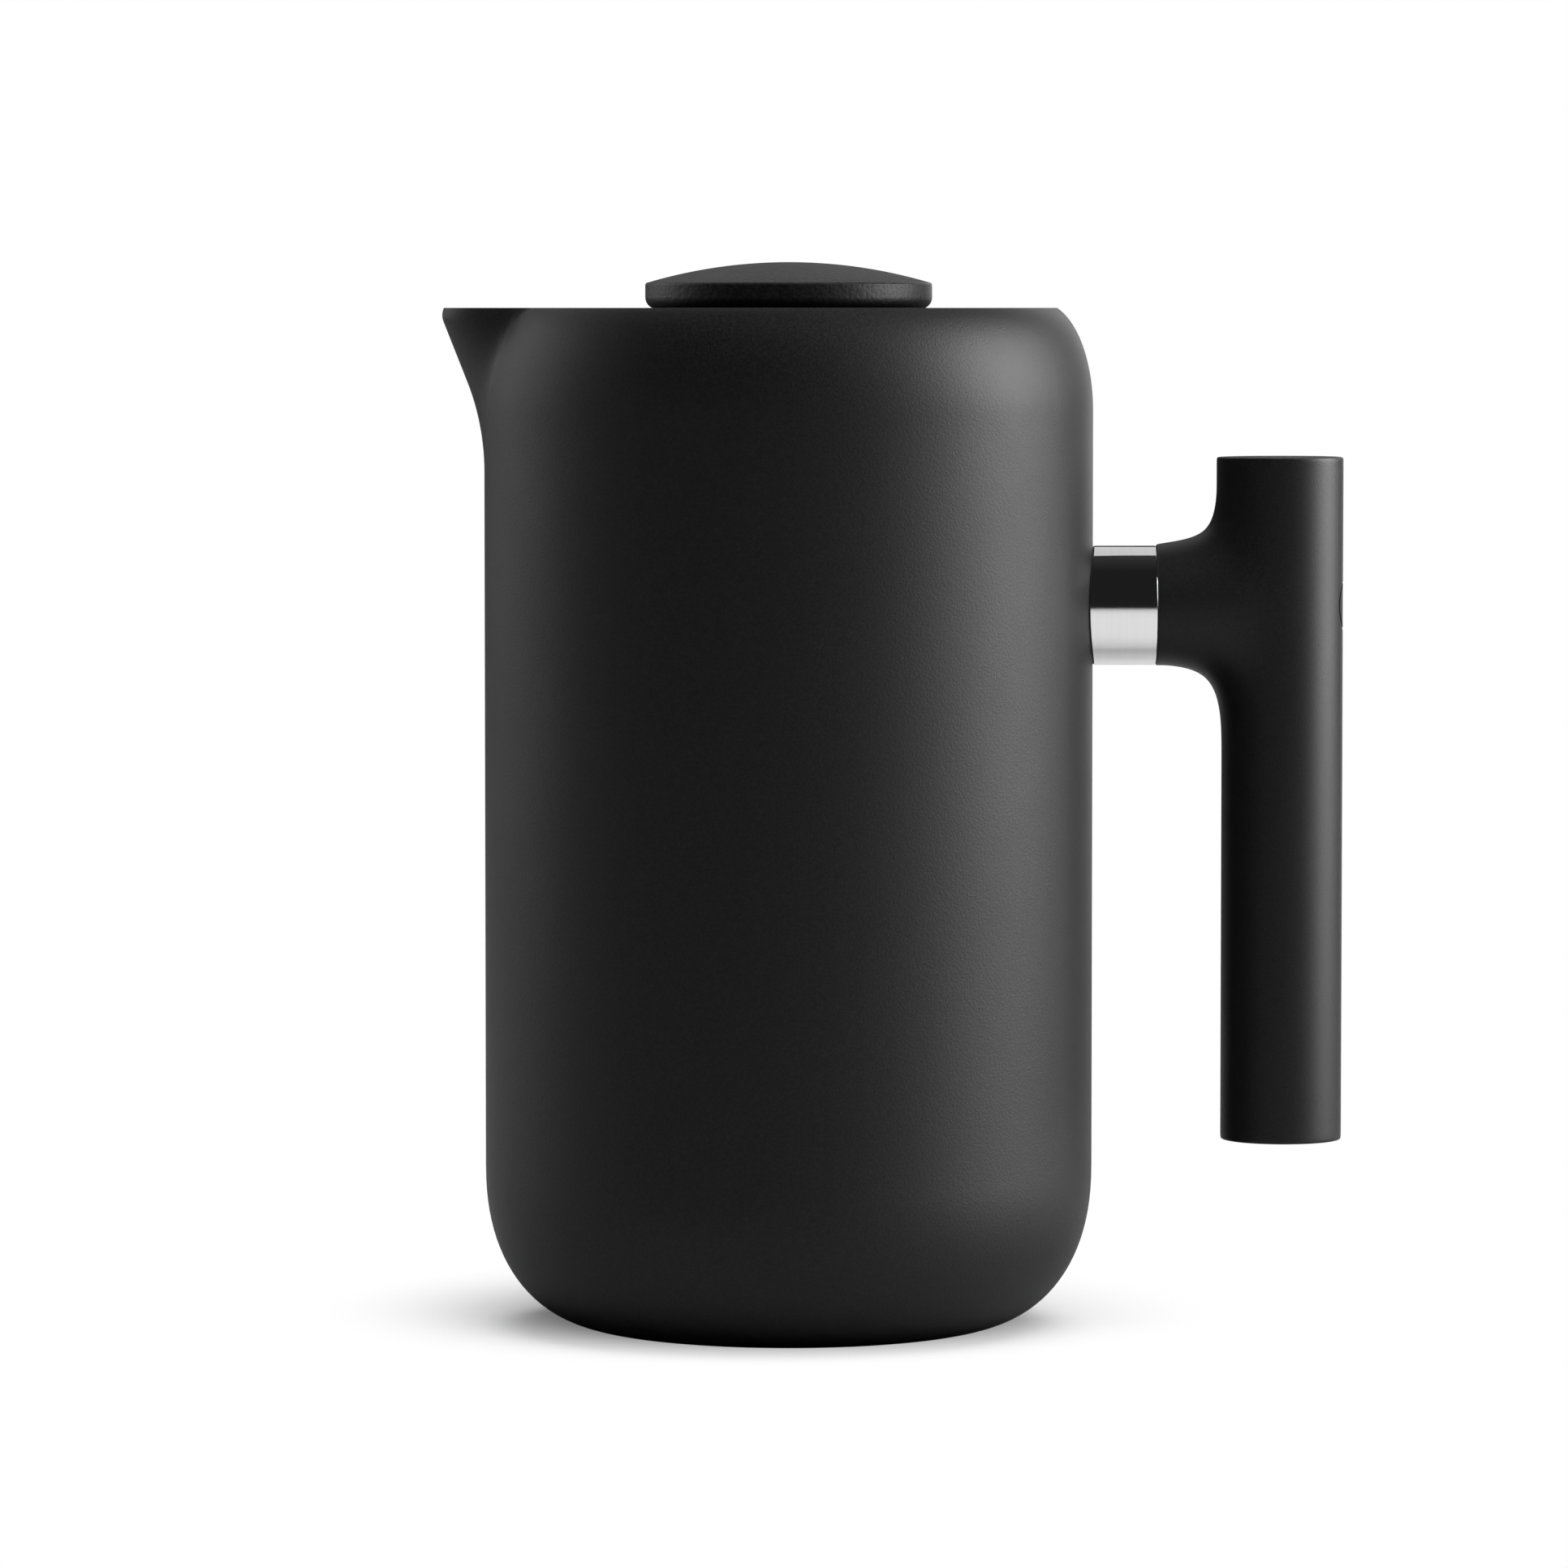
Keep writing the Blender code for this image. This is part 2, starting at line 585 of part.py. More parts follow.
def make_handle_bolt(parent, steel, plastic):
    """The bolt from the grip's back into the boss, its washer, and the plug that hides its head."""
    washer_start = BOLT_SEAT + GAP
    head_start = washer_start + WASHER_THICKNESS + GAP
    head_end = head_start + BOLT_HEAD_HEIGHT
    bolt_profile = [
        (0.0, head_end),
        (BOLT_HEAD_RADIUS, head_end),
        (BOLT_HEAD_RADIUS, head_start),
        (BOLT_RADIUS, head_start),
        (BOLT_RADIUS, BOLT_TIP),
        (0.0, BOLT_TIP),
    ]
    bolt = add_object("handle_bolt", turned_along_x(bolt_profile, SMALL_ROUND, closed=False), parent, steel)
    key = rod_profile(BOLT_SOCKET_RADIUS, head_end - BOLT_SOCKET_DEPTH, head_end + BOLT_SOCKET_DEPTH)
    add_boolean(bolt, add_helper("bolt_key_socket", turned_along_x(key, 6, closed=False), parent))
    washer = tube_profile(BOLT_RADIUS + GAP, BOLT_HEAD_RADIUS, washer_start, washer_start + WASHER_THICKNESS)
    add_object("bolt_washer", turned_along_x(washer, SMALL_ROUND), parent, steel)
    back = GRIP_AXIS + GRIP_RADIUS
    plug_profile = rod_profile(PLUG_RADIUS, back - PLUG_LENGTH, back + GAP)
    plug = add_object("bolt_plug", turned_along_x(plug_profile, SMALL_ROUND, closed=False), parent, plastic)
    grip_profile = rod_profile(GRIP_RADIUS, GRIP_BOTTOM, GRIP_TOP)
    flush = turned(grip_profile, closed=False, centre=(GRIP_AXIS, 0.0))
    add_boolean(plug, add_helper("grip_surface", flush, parent), "INTERSECT")


# Lid


def make_lid_cap(parent, plastic):
    radius, edge = LID_CAP_RADIUS, LID_CAP_EDGE
    hole = ROD_HOLE_RADIUS + GAP
    profile = arc((radius - edge, LID_TOP - edge), edge, 90, 0, 3)
    profile += [(radius, LID_CAP_BOTTOM), (hole, LID_CAP_BOTTOM), (hole, LID_TOP)]
    cap = add_object("lid_cap", turned(profile), parent, plastic)
    for number, place in enumerate(lid_screw_places(), 1):
        hole_profile = rod_profile(
            LID_SCREW_RADIUS + GAP, LID_CAP_BOTTOM - LID_SCREW_BITE, LID_CAP_BOTTOM + LID_SCREW_BITE + GAP
        )
        pilot = turned(hole_profile, HOLE_ROUND, closed=False, centre=place)
        add_boolean(cap, add_helper(f"cap_pilot_{number}", pilot, parent))


def lid_screw_places():
    angles = [math.tau * (i + 0.5) / LID_SCREW_COUNT for i in range(LID_SCREW_COUNT)]
    return [(LID_SCREW_CIRCLE * math.cos(a), LID_SCREW_CIRCLE * math.sin(a)) for a in angles]


def make_lid_frame(parent, plastic):
    """The slotted skirt, its two flanges, the plate under the cap and the boss that holds the bush."""
    inner = SKIRT_RADIUS - SKIRT_WALL
    upper_flange_top = UPPER_FLANGE_BOTTOM + UPPER_FLANGE_THICKNESS
    upper_radius = LID_CAP_RADIUS + GAP
    profile = [
        (SKIRT_RADIUS, LID_PLATE_TOP),
        (SKIRT_RADIUS, upper_flange_top),
        (upper_radius, upper_flange_top),
        (upper_radius, UPPER_FLANGE_BOTTOM),
        (SKIRT_RADIUS, UPPER_FLANGE_BOTTOM),
        (SKIRT_RADIUS, SKIRT_BOTTOM + FLANGE_THICKNESS),
        (FLANGE_RADIUS, SKIRT_BOTTOM + FLANGE_THICKNESS),
        (FLANGE_RADIUS, SKIRT_BOTTOM),
        (inner, SKIRT_BOTTOM),
        (inner, LID_PLATE_BOTTOM),
        (LID_BOSS_RADIUS, LID_PLATE_BOTTOM),
        (LID_BOSS_RADIUS, LID_BOSS_BOTTOM),
        (ROD_HOLE_RADIUS + GAP, LID_BOSS_BOTTOM),
        (ROD_HOLE_RADIUS + GAP, LID_BOSS_BOTTOM + LID_BOSS_LIP),
        (BOSS_BORE_RADIUS, LID_BOSS_BOTTOM + LID_BOSS_LIP),
        (BOSS_BORE_RADIUS, LID_PLATE_TOP),
    ]
    frame = add_object("lid_frame", turned(profile), parent, plastic)
    add_boolean(frame, add_helper("pour_slots", slot_boxes(upper_flange_top), parent))
    for number, place in enumerate(lid_screw_places(), 1):
        profile = rod_profile(LID_SCREW_RADIUS + GAP, LID_PLATE_BOTTOM - GAP, LID_PLATE_TOP + GAP)
        hole = turned(profile, HOLE_ROUND, closed=False, centre=place)
        add_boolean(frame, add_helper(f"plate_hole_{number}", hole, parent))


def slot_boxes(flange_top):
    """The ring of slots that coffee runs through, between the upper flange and the plate."""
    bm = bmesh.new()
    centre_height = (flange_top + LID_PLATE_BOTTOM) / 2
    height = min(SLOT_HEIGHT, LID_PLATE_BOTTOM - flange_top - 2 * GAP)
    width = min(SLOT_WIDTH, math.pi * SKIRT_RADIUS / SLOT_COUNT)
    length = 2 * SKIRT_WALL
    for i in range(SLOT_COUNT):
        made = bmesh.ops.create_cube(bm, size=1.0)["verts"]
        angle = math.tau * (i + 0.5) / SLOT_COUNT
        for vert in made:
            radius = SKIRT_RADIUS - SKIRT_WALL / 2 + vert.co.x * length
            across = vert.co.y * width
            x = radius * math.cos(angle) - across * math.sin(angle)
            y = radius * math.sin(angle) + across * math.cos(angle)
            vert.co = (x, y, centre_height + vert.co.z * height)
    return bm


def make_lid_gasket(parent, silicone):
    """The ring that grips the liner: a flat back on the skirt and a lip on each outer edge."""
    inner = SKIRT_RADIUS + GAP
    outer = LINER_BORE_RADIUS - GAP
    waist = outer - LID_GASKET_LIP
    lip = LID_GASKET_HEIGHT / 4
    profile = [
        (inner, GASKET_TOP),
        (waist, GASKET_TOP),
        (outer, GASKET_TOP - lip),
        (waist, GASKET_TOP - 2 * lip),
        (outer, GASKET_BOTTOM + lip),
        (waist, GASKET_BOTTOM),
        (inner, GASKET_BOTTOM),
    ]
    add_object("lid_gasket", turned(profile), parent, silicone)


def make_lid_screws(parent, steel):
    head_top = LID_PLATE_BOTTOM - GAP
    head_bottom = head_top - LID_SCREW_HEAD_HEIGHT
    tip = LID_CAP_BOTTOM + LID_SCREW_BITE
    profile = [
        (0.0, tip),
        (LID_SCREW_RADIUS, tip),
        (LID_SCREW_RADIUS, head_top),
        (LID_SCREW_HEAD_RADIUS, head_top),
        (LID_SCREW_HEAD_RADIUS, head_bottom),
        (0.0, head_bottom),
    ]
    half = LID_SCREW_SLOT / 2
    reach = 2 * LID_SCREW_HEAD_RADIUS
    for number, (x, y) in enumerate(lid_screw_places(), 1):
        screw_mesh = turned(profile, HOLE_ROUND, closed=False, centre=(x, y))
        screw = add_object(f"lid_screw_{number}", screw_mesh, parent, steel)
        low = (x - reach, y - half, head_bottom - LID_SCREW_SLOT)
        high = (x + reach, y + half, head_bottom + LID_SCREW_SLOT)
        add_boolean(screw, add_helper(f"driver_slot_{number}", box(low, high), parent))


def make_rod_bush(parent, slippery):
    profile = tube_profile(ROD_HOLE_RADIUS, BUSH_RADIUS, BUSH_BOTTOM, LID_PLATE_TOP)
    add_object("rod_bush", turned(profile, SMALL_ROUND), parent, slippery)


# Plunger


def make_rod(parent, steel):
    flange_top = ROD_SHOULDER + ROD_FLANGE_THICKNESS
    profile = [
        (0.0, ROD_TOP),
        (ROD_RADIUS, ROD_TOP),
        (ROD_RADIUS, flange_top),
        (ROD_FLANGE_RADIUS, flange_top),
        (ROD_FLANGE_RADIUS, ROD_SHOULDER),
        (ROD_THREAD_RADIUS, ROD_SHOULDER),
        (ROD_THREAD_RADIUS, ROD_TIP),
        (0.0, ROD_TIP),
    ]
    add_object("plunger_rod", turned(profile, SMALL_ROUND, closed=False), parent, steel)


def dome_points(sphere_radius, top, edge_radius, steps):
    """Points down a shallow dome, from its top on the axis to its edge."""
    points = []
    for i in range(steps + 1):
        radius = edge_radius * i / steps
        points.append((radius, top - sphere_radius + math.sqrt(sphere_radius**2 - radius**2)))
    return points


def make_knob(parent, plastic, brass):
    """The domed shell with its inner boss, the brass insert in it, and the disc that closes it below."""
    fillet = KNOB_FILLET
    outside = dome_points(KNOB_DOME_RADIUS, KNOB_TOP, KNOB_RADIUS - KNOB_EDGE, 4)
    outside.append((KNOB_RADIUS, outside[-1][1] - KNOB_EDGE))
    outside += arc((KNOB_RADIUS - fillet, KNOB_BOTTOM + fillet), fillet, 0, -90, 3)
    inner_radius = KNOB_LIP_RADIUS
    ceiling = dome_points(KNOB_DOME_RADIUS - KNOB_WALL, KNOB_TOP - KNOB_WALL, inner_radius, 3)
    bore = INSERT_RADIUS + GAP
    inside = [(inner_radius, KNOB_BOTTOM)]
    inside += [point for point in reversed(ceiling) if point[0] > KNOB_BOSS_RADIUS]
    inside += [
        (KNOB_BOSS_RADIUS, ceiling[1][1]),
        (KNOB_BOSS_RADIUS, INSERT_BOTTOM),
        (bore, INSERT_BOTTOM),
        (bore, INSERT_TOP + GAP),
        (0.0, INSERT_TOP + GAP),
    ]
    add_object("knob_shell", turned(outside + inside, ROUND, closed=False), parent, plastic)
    insert = tube_profile(ROD_RADIUS + GAP, INSERT_RADIUS, INSERT_BOTTOM, INSERT_TOP)
    add_object("knob_insert", turned(insert, SMALL_ROUND), parent, brass)
    base = tube_profile(ROD_RADIUS + GAP, inner_radius - GAP, KNOB_BOTTOM, KNOB_BASE_TOP)
    add_object("knob_base", turned(base, ROUND), parent, plastic)


def add_plate_holes(plate, counts, hole_radius, bottom, plate_radius, parent):
    """Rings of round holes, one ring for each count, spread evenly between the nut and the plate's edge."""
    web = (plate_radius - NUT_RADIUS - 2 * hole_radius * len(counts)) / (len(counts) + 1)
    for number, count in enumerate(counts):
        circle = NUT_RADIUS + (number + 1) * web + (2 * number + 1) * hole_radius
        bm = bmesh.new()
        for i in range(count):
            angle = HOLE_RING_TURN + math.tau * i / count
            place = (circle * math.cos(angle), circle * math.sin(angle), bottom + FILTER_PLATE_THICKNESS / 2)
            made = bmesh.ops.create_cone(
                bm, cap_ends=True, segments=HOLE_ROUND, radius1=hole_radius, radius2=hole_radius,
                depth=3 * FILTER_PLATE_THICKNESS
            )["verts"]
            bmesh.ops.translate(bm, verts=made, vec=place)
        add_boolean(plate, add_helper(f"{plate.name}_holes_{count}", bm, parent))


def make_filter(parent, steel, gauze, spring_steel):
    """Cross plate, mesh screen, top plate and the edge spring, clamped below the rod's flange by the nut."""
    low = STACK_BOTTOM
    hole = STACK_HOLE_RADIUS
    cross = tube_profile(hole, CROSS_PLATE_RADIUS, low, low + FILTER_PLATE_THICKNESS)
    cross_plate = add_object("filter_cross_plate", turned(cross), parent, steel)
    add_plate_holes(cross_plate, CROSS_PLATE_HOLES, CROSS_PLATE_HOLE_RADIUS, low, CROSS_PLATE_RADIUS, parent)
    screen = tube_profile(hole, SPRING_OUTER_RADIUS, MESH_BOTTOM, MESH_BOTTOM + MESH_THICKNESS)
    add_object("filter_mesh", turned(screen), parent, gauze)
    spring_radius = SPRING_THICKNESS / 2
    spring_circle = SPRING_OUTER_RADIUS - spring_radius
    top_radius = spring_circle - spring_radius - GAP
    top = tube_profile(hole, top_radius, TOP_PLATE_BOTTOM, TOP_PLATE_BOTTOM + FILTER_PLATE_THICKNESS)
    top_plate = add_object("filter_top_plate", turned(top), parent, steel)
    add_plate_holes(top_plate, TOP_PLATE_HOLES, TOP_PLATE_HOLE_RADIUS, TOP_PLATE_BOTTOM, top_radius, parent)
    ring = arc((spring_circle, SPRING_CENTRE), spring_radius, 0, -300, 5)
    add_object("filter_spring", turned(ring), parent, spring_steel)
    add_object("filter_nut", knurled_nut(), parent, steel)


def knurled_nut():
    """A round nut with grip notches, open through its middle for the rod's thread."""
    bm = bmesh.new()
    points = 2 * NUT_KNURLS
    rings = []
    for height, inside in ((NUT_TOP, False), (NUT_TOP - NUT_HEIGHT, False), (NUT_TOP - NUT_HEIGHT, True),
                           (NUT_TOP, True)):
        ring = []
        for i in range(points):
            angle = math.tau * i / points
            radius = STACK_HOLE_RADIUS if inside else NUT_RADIUS - NUT_KNURL_DEPTH * (i % 2)
            ring.append(bm.verts.new((radius * math.cos(angle), radius * math.sin(angle), height)))
        rings.append(ring)
    for first, second in zip(rings, rings[1:] + rings[:1]):
        for i in range(points):
            j = (i + 1) % points
            bm.faces.new((first[i], first[j], second[j], second[i]))
    return bm


def main():
    clear_scene()
    coat = make_material("black_powder_coat", (0.022, 0.022, 0.023), 0.62)
    liner_coat = make_material("black_liner_coat", (0.015, 0.015, 0.016), 0.45)
    plastic = make_material("black_moulded_plastic", (0.02, 0.02, 0.021), 0.5)
    steel = make_material("polished_steel", (0.72, 0.72, 0.73), 0.15, 1.0)
    satin = make_material("satin_steel", (0.6, 0.6, 0.61), 0.35, 1.0)
    gauze = make_material("steel_gauze", (0.5, 0.5, 0.51), 0.4, 1.0)
    silicone = make_material("black_silicone", (0.03, 0.03, 0.03), 0.8)
    glass = make_material("sealing_glass", (0.2, 0.28, 0.22), 0.2)
    alloy = make_material("getter_alloy", (0.35, 0.34, 0.33), 0.6, 1.0)
    brass = make_material("brass", (0.7, 0.52, 0.24), 0.3, 1.0)
    slippery = make_material("white_bush_plastic", (0.75, 0.75, 0.73), 0.4)

    vessel = make_empty("vessel")
    lid = make_empty("lid", vessel, LID_TOP)
    plunger = make_empty("plunger", lid, KNOB_BOTTOM)

    make_outer_shell(vessel, coat)
    make_inner_liner(vessel, liner_coat)
    make_base(vessel, satin, silicone, glass, alloy)
    make_handle_boss(vessel, satin)
    make_collar(vessel, steel, silicone)
    make_handle(vessel, plastic)
    make_handle_bolt(vessel, satin, plastic)

    make_lid_cap(lid, plastic)
    make_lid_frame(lid, plastic)
    make_lid_gasket(lid, silicone)
    make_lid_screws(lid, satin)
    make_rod_bush(lid, slippery)

    make_rod(plunger, steel)
    make_knob(plunger, plastic, brass)
    make_filter(plunger, satin, gauze, satin)


main()
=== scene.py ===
import math

import bpy
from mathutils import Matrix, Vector


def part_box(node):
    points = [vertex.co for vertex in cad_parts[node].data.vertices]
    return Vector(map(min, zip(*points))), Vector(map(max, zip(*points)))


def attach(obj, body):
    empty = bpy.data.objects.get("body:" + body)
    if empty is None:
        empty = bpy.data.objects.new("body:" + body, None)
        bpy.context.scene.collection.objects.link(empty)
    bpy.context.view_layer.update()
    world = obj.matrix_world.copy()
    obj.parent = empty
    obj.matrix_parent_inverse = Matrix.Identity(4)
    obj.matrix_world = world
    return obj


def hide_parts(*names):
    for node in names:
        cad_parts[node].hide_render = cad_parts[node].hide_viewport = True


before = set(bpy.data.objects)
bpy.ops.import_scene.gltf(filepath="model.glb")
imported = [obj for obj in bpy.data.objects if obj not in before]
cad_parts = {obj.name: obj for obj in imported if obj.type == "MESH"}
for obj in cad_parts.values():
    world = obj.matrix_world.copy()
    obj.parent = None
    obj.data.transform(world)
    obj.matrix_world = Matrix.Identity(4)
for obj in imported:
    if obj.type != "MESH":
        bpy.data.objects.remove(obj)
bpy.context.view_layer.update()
mm = 0.001
weldDistance = 1e-6
print("frame loaded:", len(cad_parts), "nodes")


def editMode(selectBy=None):
    bpy.ops.object.mode_set(mode="EDIT")
    if selectBy:
        bpy.ops.mesh.select_mode(type=selectBy)


def objectMode():
    bpy.ops.object.mode_set(mode="OBJECT")


def deselectAll():
    if bpy.context.object and bpy.context.object.mode != "OBJECT":
        objectMode()
    bpy.ops.object.select_all(action="DESELECT")


def makeActive(piece):
    deselectAll()
    piece.select_set(True)
    bpy.context.view_layer.objects.active = piece


def nameIt(name):
    piece = bpy.context.active_object
    piece.name = name
    piece.data.name = name
    return piece


def copyOf(piece):
    copy = piece.copy()
    copy.data = piece.data.copy()
    bpy.context.collection.objects.link(copy)
    return copy


def placeInMesh(piece, turn=(0, 0, 0), move=(0, 0, 0)):
    # turns and moves a piece, then leaves its place in its mesh
    piece.rotation_euler = turn
    piece.location = move
    makeActive(piece)
    bpy.ops.object.transform_apply(location=True, rotation=True, scale=True)
    return piece


def addBlock(name, sides, move):
    deselectAll()
    bpy.ops.mesh.primitive_cube_add(size=1)
    block = nameIt(name)
    block.scale = sides
    return placeInMesh(block, move=move)


def latheShape(name, outline, steps=96, closed=False, alongX=False, centre=(0, 0, 0)):
    # a single point is extruded down the outline of (radius, height), then spun about the axis
    deselectAll()
    bpy.ops.mesh.primitive_plane_add(size=mm, location=(0, 0, 0))
    piece = nameIt(name)
    editMode("VERT")
    bpy.ops.mesh.select_all(action="SELECT")
    bpy.ops.mesh.merge(type="CENTER")
    bpy.ops.transform.translate(value=(outline[0][0], 0, outline[0][1]))
    for here, there in zip(outline, outline[1:]):
        step = (there[0] - here[0], 0, there[1] - here[1])
        bpy.ops.mesh.extrude_vertices_move(TRANSFORM_OT_translate={"value": step})
    if closed:
        objectMode()
        for vert in piece.data.vertices:
            vert.select = vert.index in (0, len(outline) - 1)
        editMode()
        bpy.ops.mesh.edge_face_add()
    bpy.ops.mesh.select_all(action="SELECT")
    bpy.ops.mesh.spin(steps=steps, angle=math.tau, center=(0, 0, 0), axis=(0, 0, 1))
    bpy.ops.mesh.select_all(action="SELECT")
    bpy.ops.mesh.remove_doubles(threshold=weldDistance)
    bpy.ops.mesh.normals_make_consistent(inside=False)
    objectMode()
    if alongX:
        placeInMesh(piece, turn=(0, math.radians(90), 0))
    if centre != (0, 0, 0):
        placeInMesh(piece, move=centre)
    return piece


def arcPoints(centre, radiusAcross, radiusUp, start, end, steps):
    points = []
    for i in range(steps + 1):
        angle = math.radians(start + (end - start) * i / steps)
        points.append((centre[0] + radiusAcross * math.cos(angle), centre[1] + radiusUp * math.sin(angle)))
    return points


def roundedRing(inner, outer, bottom, top, edge, steps=4):
    # outline of a ring with all four edges rounded, for a closed lathe
    outline = arcPoints((outer - edge, top - edge), edge, edge, 90, 0, steps)
    outline += arcPoints((outer - edge, bottom + edge), edge, edge, 0, -90, steps)
    outline += arcPoints((inner + edge, bottom + edge), edge, edge, 270, 180, steps)
    outline += arcPoints((inner + edge, top - edge), edge, edge, 180, 90, steps)
    return outline


def applyModifier(piece, kind, **settings):
    modifier = piece.modifiers.new(kind.lower(), kind)
    for setting, value in settings.items():
        setattr(modifier, setting, value)
    makeActive(piece)
    bpy.ops.object.modifier_apply(modifier=modifier.name)


def cutAway(piece, cutter, operation="DIFFERENCE"):
    applyModifier(piece, "BOOLEAN", object=cutter, operation=operation, solver="EXACT")
    bpy.data.objects.remove(cutter, do_unlink=True)


def faceOut(piece):
    makeActive(piece)
    editMode()
    bpy.ops.mesh.select_all(action="SELECT")
    bpy.ops.mesh.remove_doubles(threshold=weldDistance / 10)
    bpy.ops.mesh.normals_make_consistent(inside=False)
    objectMode()


def clearSelection(piece):
    for part in (piece.data.vertices, piece.data.edges, piece.data.polygons):
        part.foreach_set("select", [False] * len(part))


def selectOpenEdges():
    bpy.ops.mesh.select_all(action="DESELECT")
    bpy.ops.mesh.select_non_manifold(extend=False, use_wire=False, use_boundary=True, use_multi_face=False,
                                     use_non_contiguous=False, use_verts=False)


def bevelWhere(piece, test, width, segments):
    # bevels the edges whose two ends pass the test and whose faces meet at an angle
    makeActive(piece)
    clearSelection(piece)
    normals = {}
    for face in piece.data.polygons:
        for key in face.edge_keys:
            normals.setdefault(key, []).append(face.normal)
    for edge in piece.data.edges:
        first, second = (piece.data.vertices[i].co for i in edge.vertices)
        pair = normals.get(edge.key, [])
        if len(pair) == 2 and pair[0].dot(pair[1]) < 0.8 and test(first, second):
            edge.select = True
    editMode("EDGE")
    bpy.ops.mesh.bevel(offset=width, segments=segments, profile=0.5, clamp_overlap=True)
    objectMode()


def markEdges(piece):
    # keeps how tightly the surface curves outwards at each vertex, for the wear along edges
    mesh = piece.data
    facesAt = {}
    for face in mesh.polygons:
        for key in face.edge_keys:
            facesAt.setdefault(key, []).append((face.index, face.center, face.normal))
    faceCurve = [0.0] * len(mesh.polygons)
    for faces in facesAt.values():
        (one, centre, normal), (other, otherCentre, otherNormal) = faces[0], faces[-1]
        apart = otherCentre - centre
        if apart.length > 0 and apart.dot(normal) < 0:
            curve = normal.angle(otherNormal, 0.0) / apart.length
            faceCurve[one] = max(faceCurve[one], curve)
            faceCurve[other] = max(faceCurve[other], curve)
    leastCurve = [math.inf] * len(mesh.vertices)
    for face in mesh.polygons:
        for index in face.vertices:
            leastCurve[index] = min(leastCurve[index], faceCurve[face.index])
    attribute = mesh.attributes.new("edgeCurve", "FLOAT", "POINT")
    attribute.data.foreach_set("value", leastCurve)


def finishPiece(piece, body, material, replaces=(), angle=35):
    markEdges(piece)
    makeActive(piece)
    bpy.ops.object.shade_smooth_by_angle(angle=math.radians(angle))
    applyModifier(piece, "WEIGHTED_NORMAL", weight=80, keep_sharp=True)
    piece.data.materials.clear()
    piece.data.materials.append(material)
    if replaces:
        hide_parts(*replaces)
    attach(piece, body)
    return piece


def newGroup(name, inputs, outputs):
    group = bpy.data.node_groups.new(name, "ShaderNodeTree")
    for socketName, value in inputs:
        socket = group.interface.new_socket(name=socketName, in_out="INPUT", socket_type="NodeSocketFloat")
        socket.default_value = value
    for socketName, kind in outputs:
        group.interface.new_socket(name=socketName, in_out="OUTPUT", socket_type=kind)
    start = group.nodes.new("NodeGroupInput")
    end = group.nodes.new("NodeGroupOutput")
    start.location, end.location = (-900, 0), (700, 0)
    return group, start, end


def addNode(tree, kind, place, inputs=None, **settings):
    node = tree.nodes.new(kind)
    node.location = place
    for setting, value in settings.items():
        setattr(node, setting, value)
    for socketName, value in (inputs or {}).items():
        node.inputs[socketName].default_value = value
    return node


def joinNodes(tree, rows):
    # each row joins an output of one node to an input of another
    for source, output, target, socket in rows:
        tree.links.new(source.outputs[output], target.inputs[socket])


def makeSpeckleGroup():
    # fine grains and slow mottling, with a bump from the grains
    group, start, end = newGroup(
        "fineSpeckle",
        [("Grain Scale", 3000.0), ("Mottle Scale", 60.0), ("Bump Strength", 0.2), ("Bump Distance", 0.0001)],
        [("Grain", "NodeSocketFloat"), ("Mottle", "NodeSocketFloat"), ("Normal", "NodeSocketVector")],
    )
    place = addNode(group, "ShaderNodeTexCoord", (-900, 300))
    grain = addNode(group, "ShaderNodeTexNoise", (-600, 300), {"Detail": 2.0})
    mottle = addNode(group, "ShaderNodeTexNoise", (-600, 0), {"Detail": 4.0})
    sharpen = addNode(group, "ShaderNodeMapRange", (-300, 300), {"From Min": 0.35, "From Max": 0.68},
                      interpolation_type="SMOOTHSTEP")
    bump = addNode(group, "ShaderNodeBump", (200, -100))
    joinNodes(group, (
        (place, "Object", grain, "Vector"),
        (place, "Object", mottle, "Vector"),
        (start, "Grain Scale", grain, "Scale"),
        (start, "Mottle Scale", mottle, "Scale"),
        (grain, "Fac", sharpen, "Value"),
        (grain, "Fac", bump, "Height"),
        (start, "Bump Strength", bump, "Strength"),
        (start, "Bump Distance", bump, "Distance"),
        (sharpen, "Result", end, "Grain"),
        (mottle, "Fac", end, "Mottle"),
        (bump, "Normal", end, "Normal"),
    ))
    return group


def makeWearGroup():
    # a mask on proud edges, broken up by noise
    group, start, end = newGroup(
        "edgeWear",
        [("Least Curve", 1200.0), ("Full Curve", 5000.0), ("Breakup Scale", 400.0)],
        [("Wear", "NodeSocketFloat")],
    )
    shape = addNode(group, "ShaderNodeAttribute", (-600, 200), attribute_name="edgeCurve")
    place = addNode(group, "ShaderNodeTexCoord", (-600, -100))
    noise = addNode(group, "ShaderNodeTexNoise", (-350, -100))
    edge = addNode(group, "ShaderNodeMapRange", (-350, 200), interpolation_type="SMOOTHSTEP")
    both = addNode(group, "ShaderNodeMath", (0, 100), operation="MULTIPLY", use_clamp=True)
    joinNodes(group, (
        (shape, "Fac", edge, "Value"),
        (start, "Least Curve", edge, "From Min"),
        (start, "Full Curve", edge, "From Max"),
        (place, "Object", noise, "Vector"),
        (start, "Breakup Scale", noise, "Scale"),
        (edge, "Result", both, 0),
        (noise, "Fac", both, 1),
        (both, "Value", end, "Wear"),
    ))
    return group


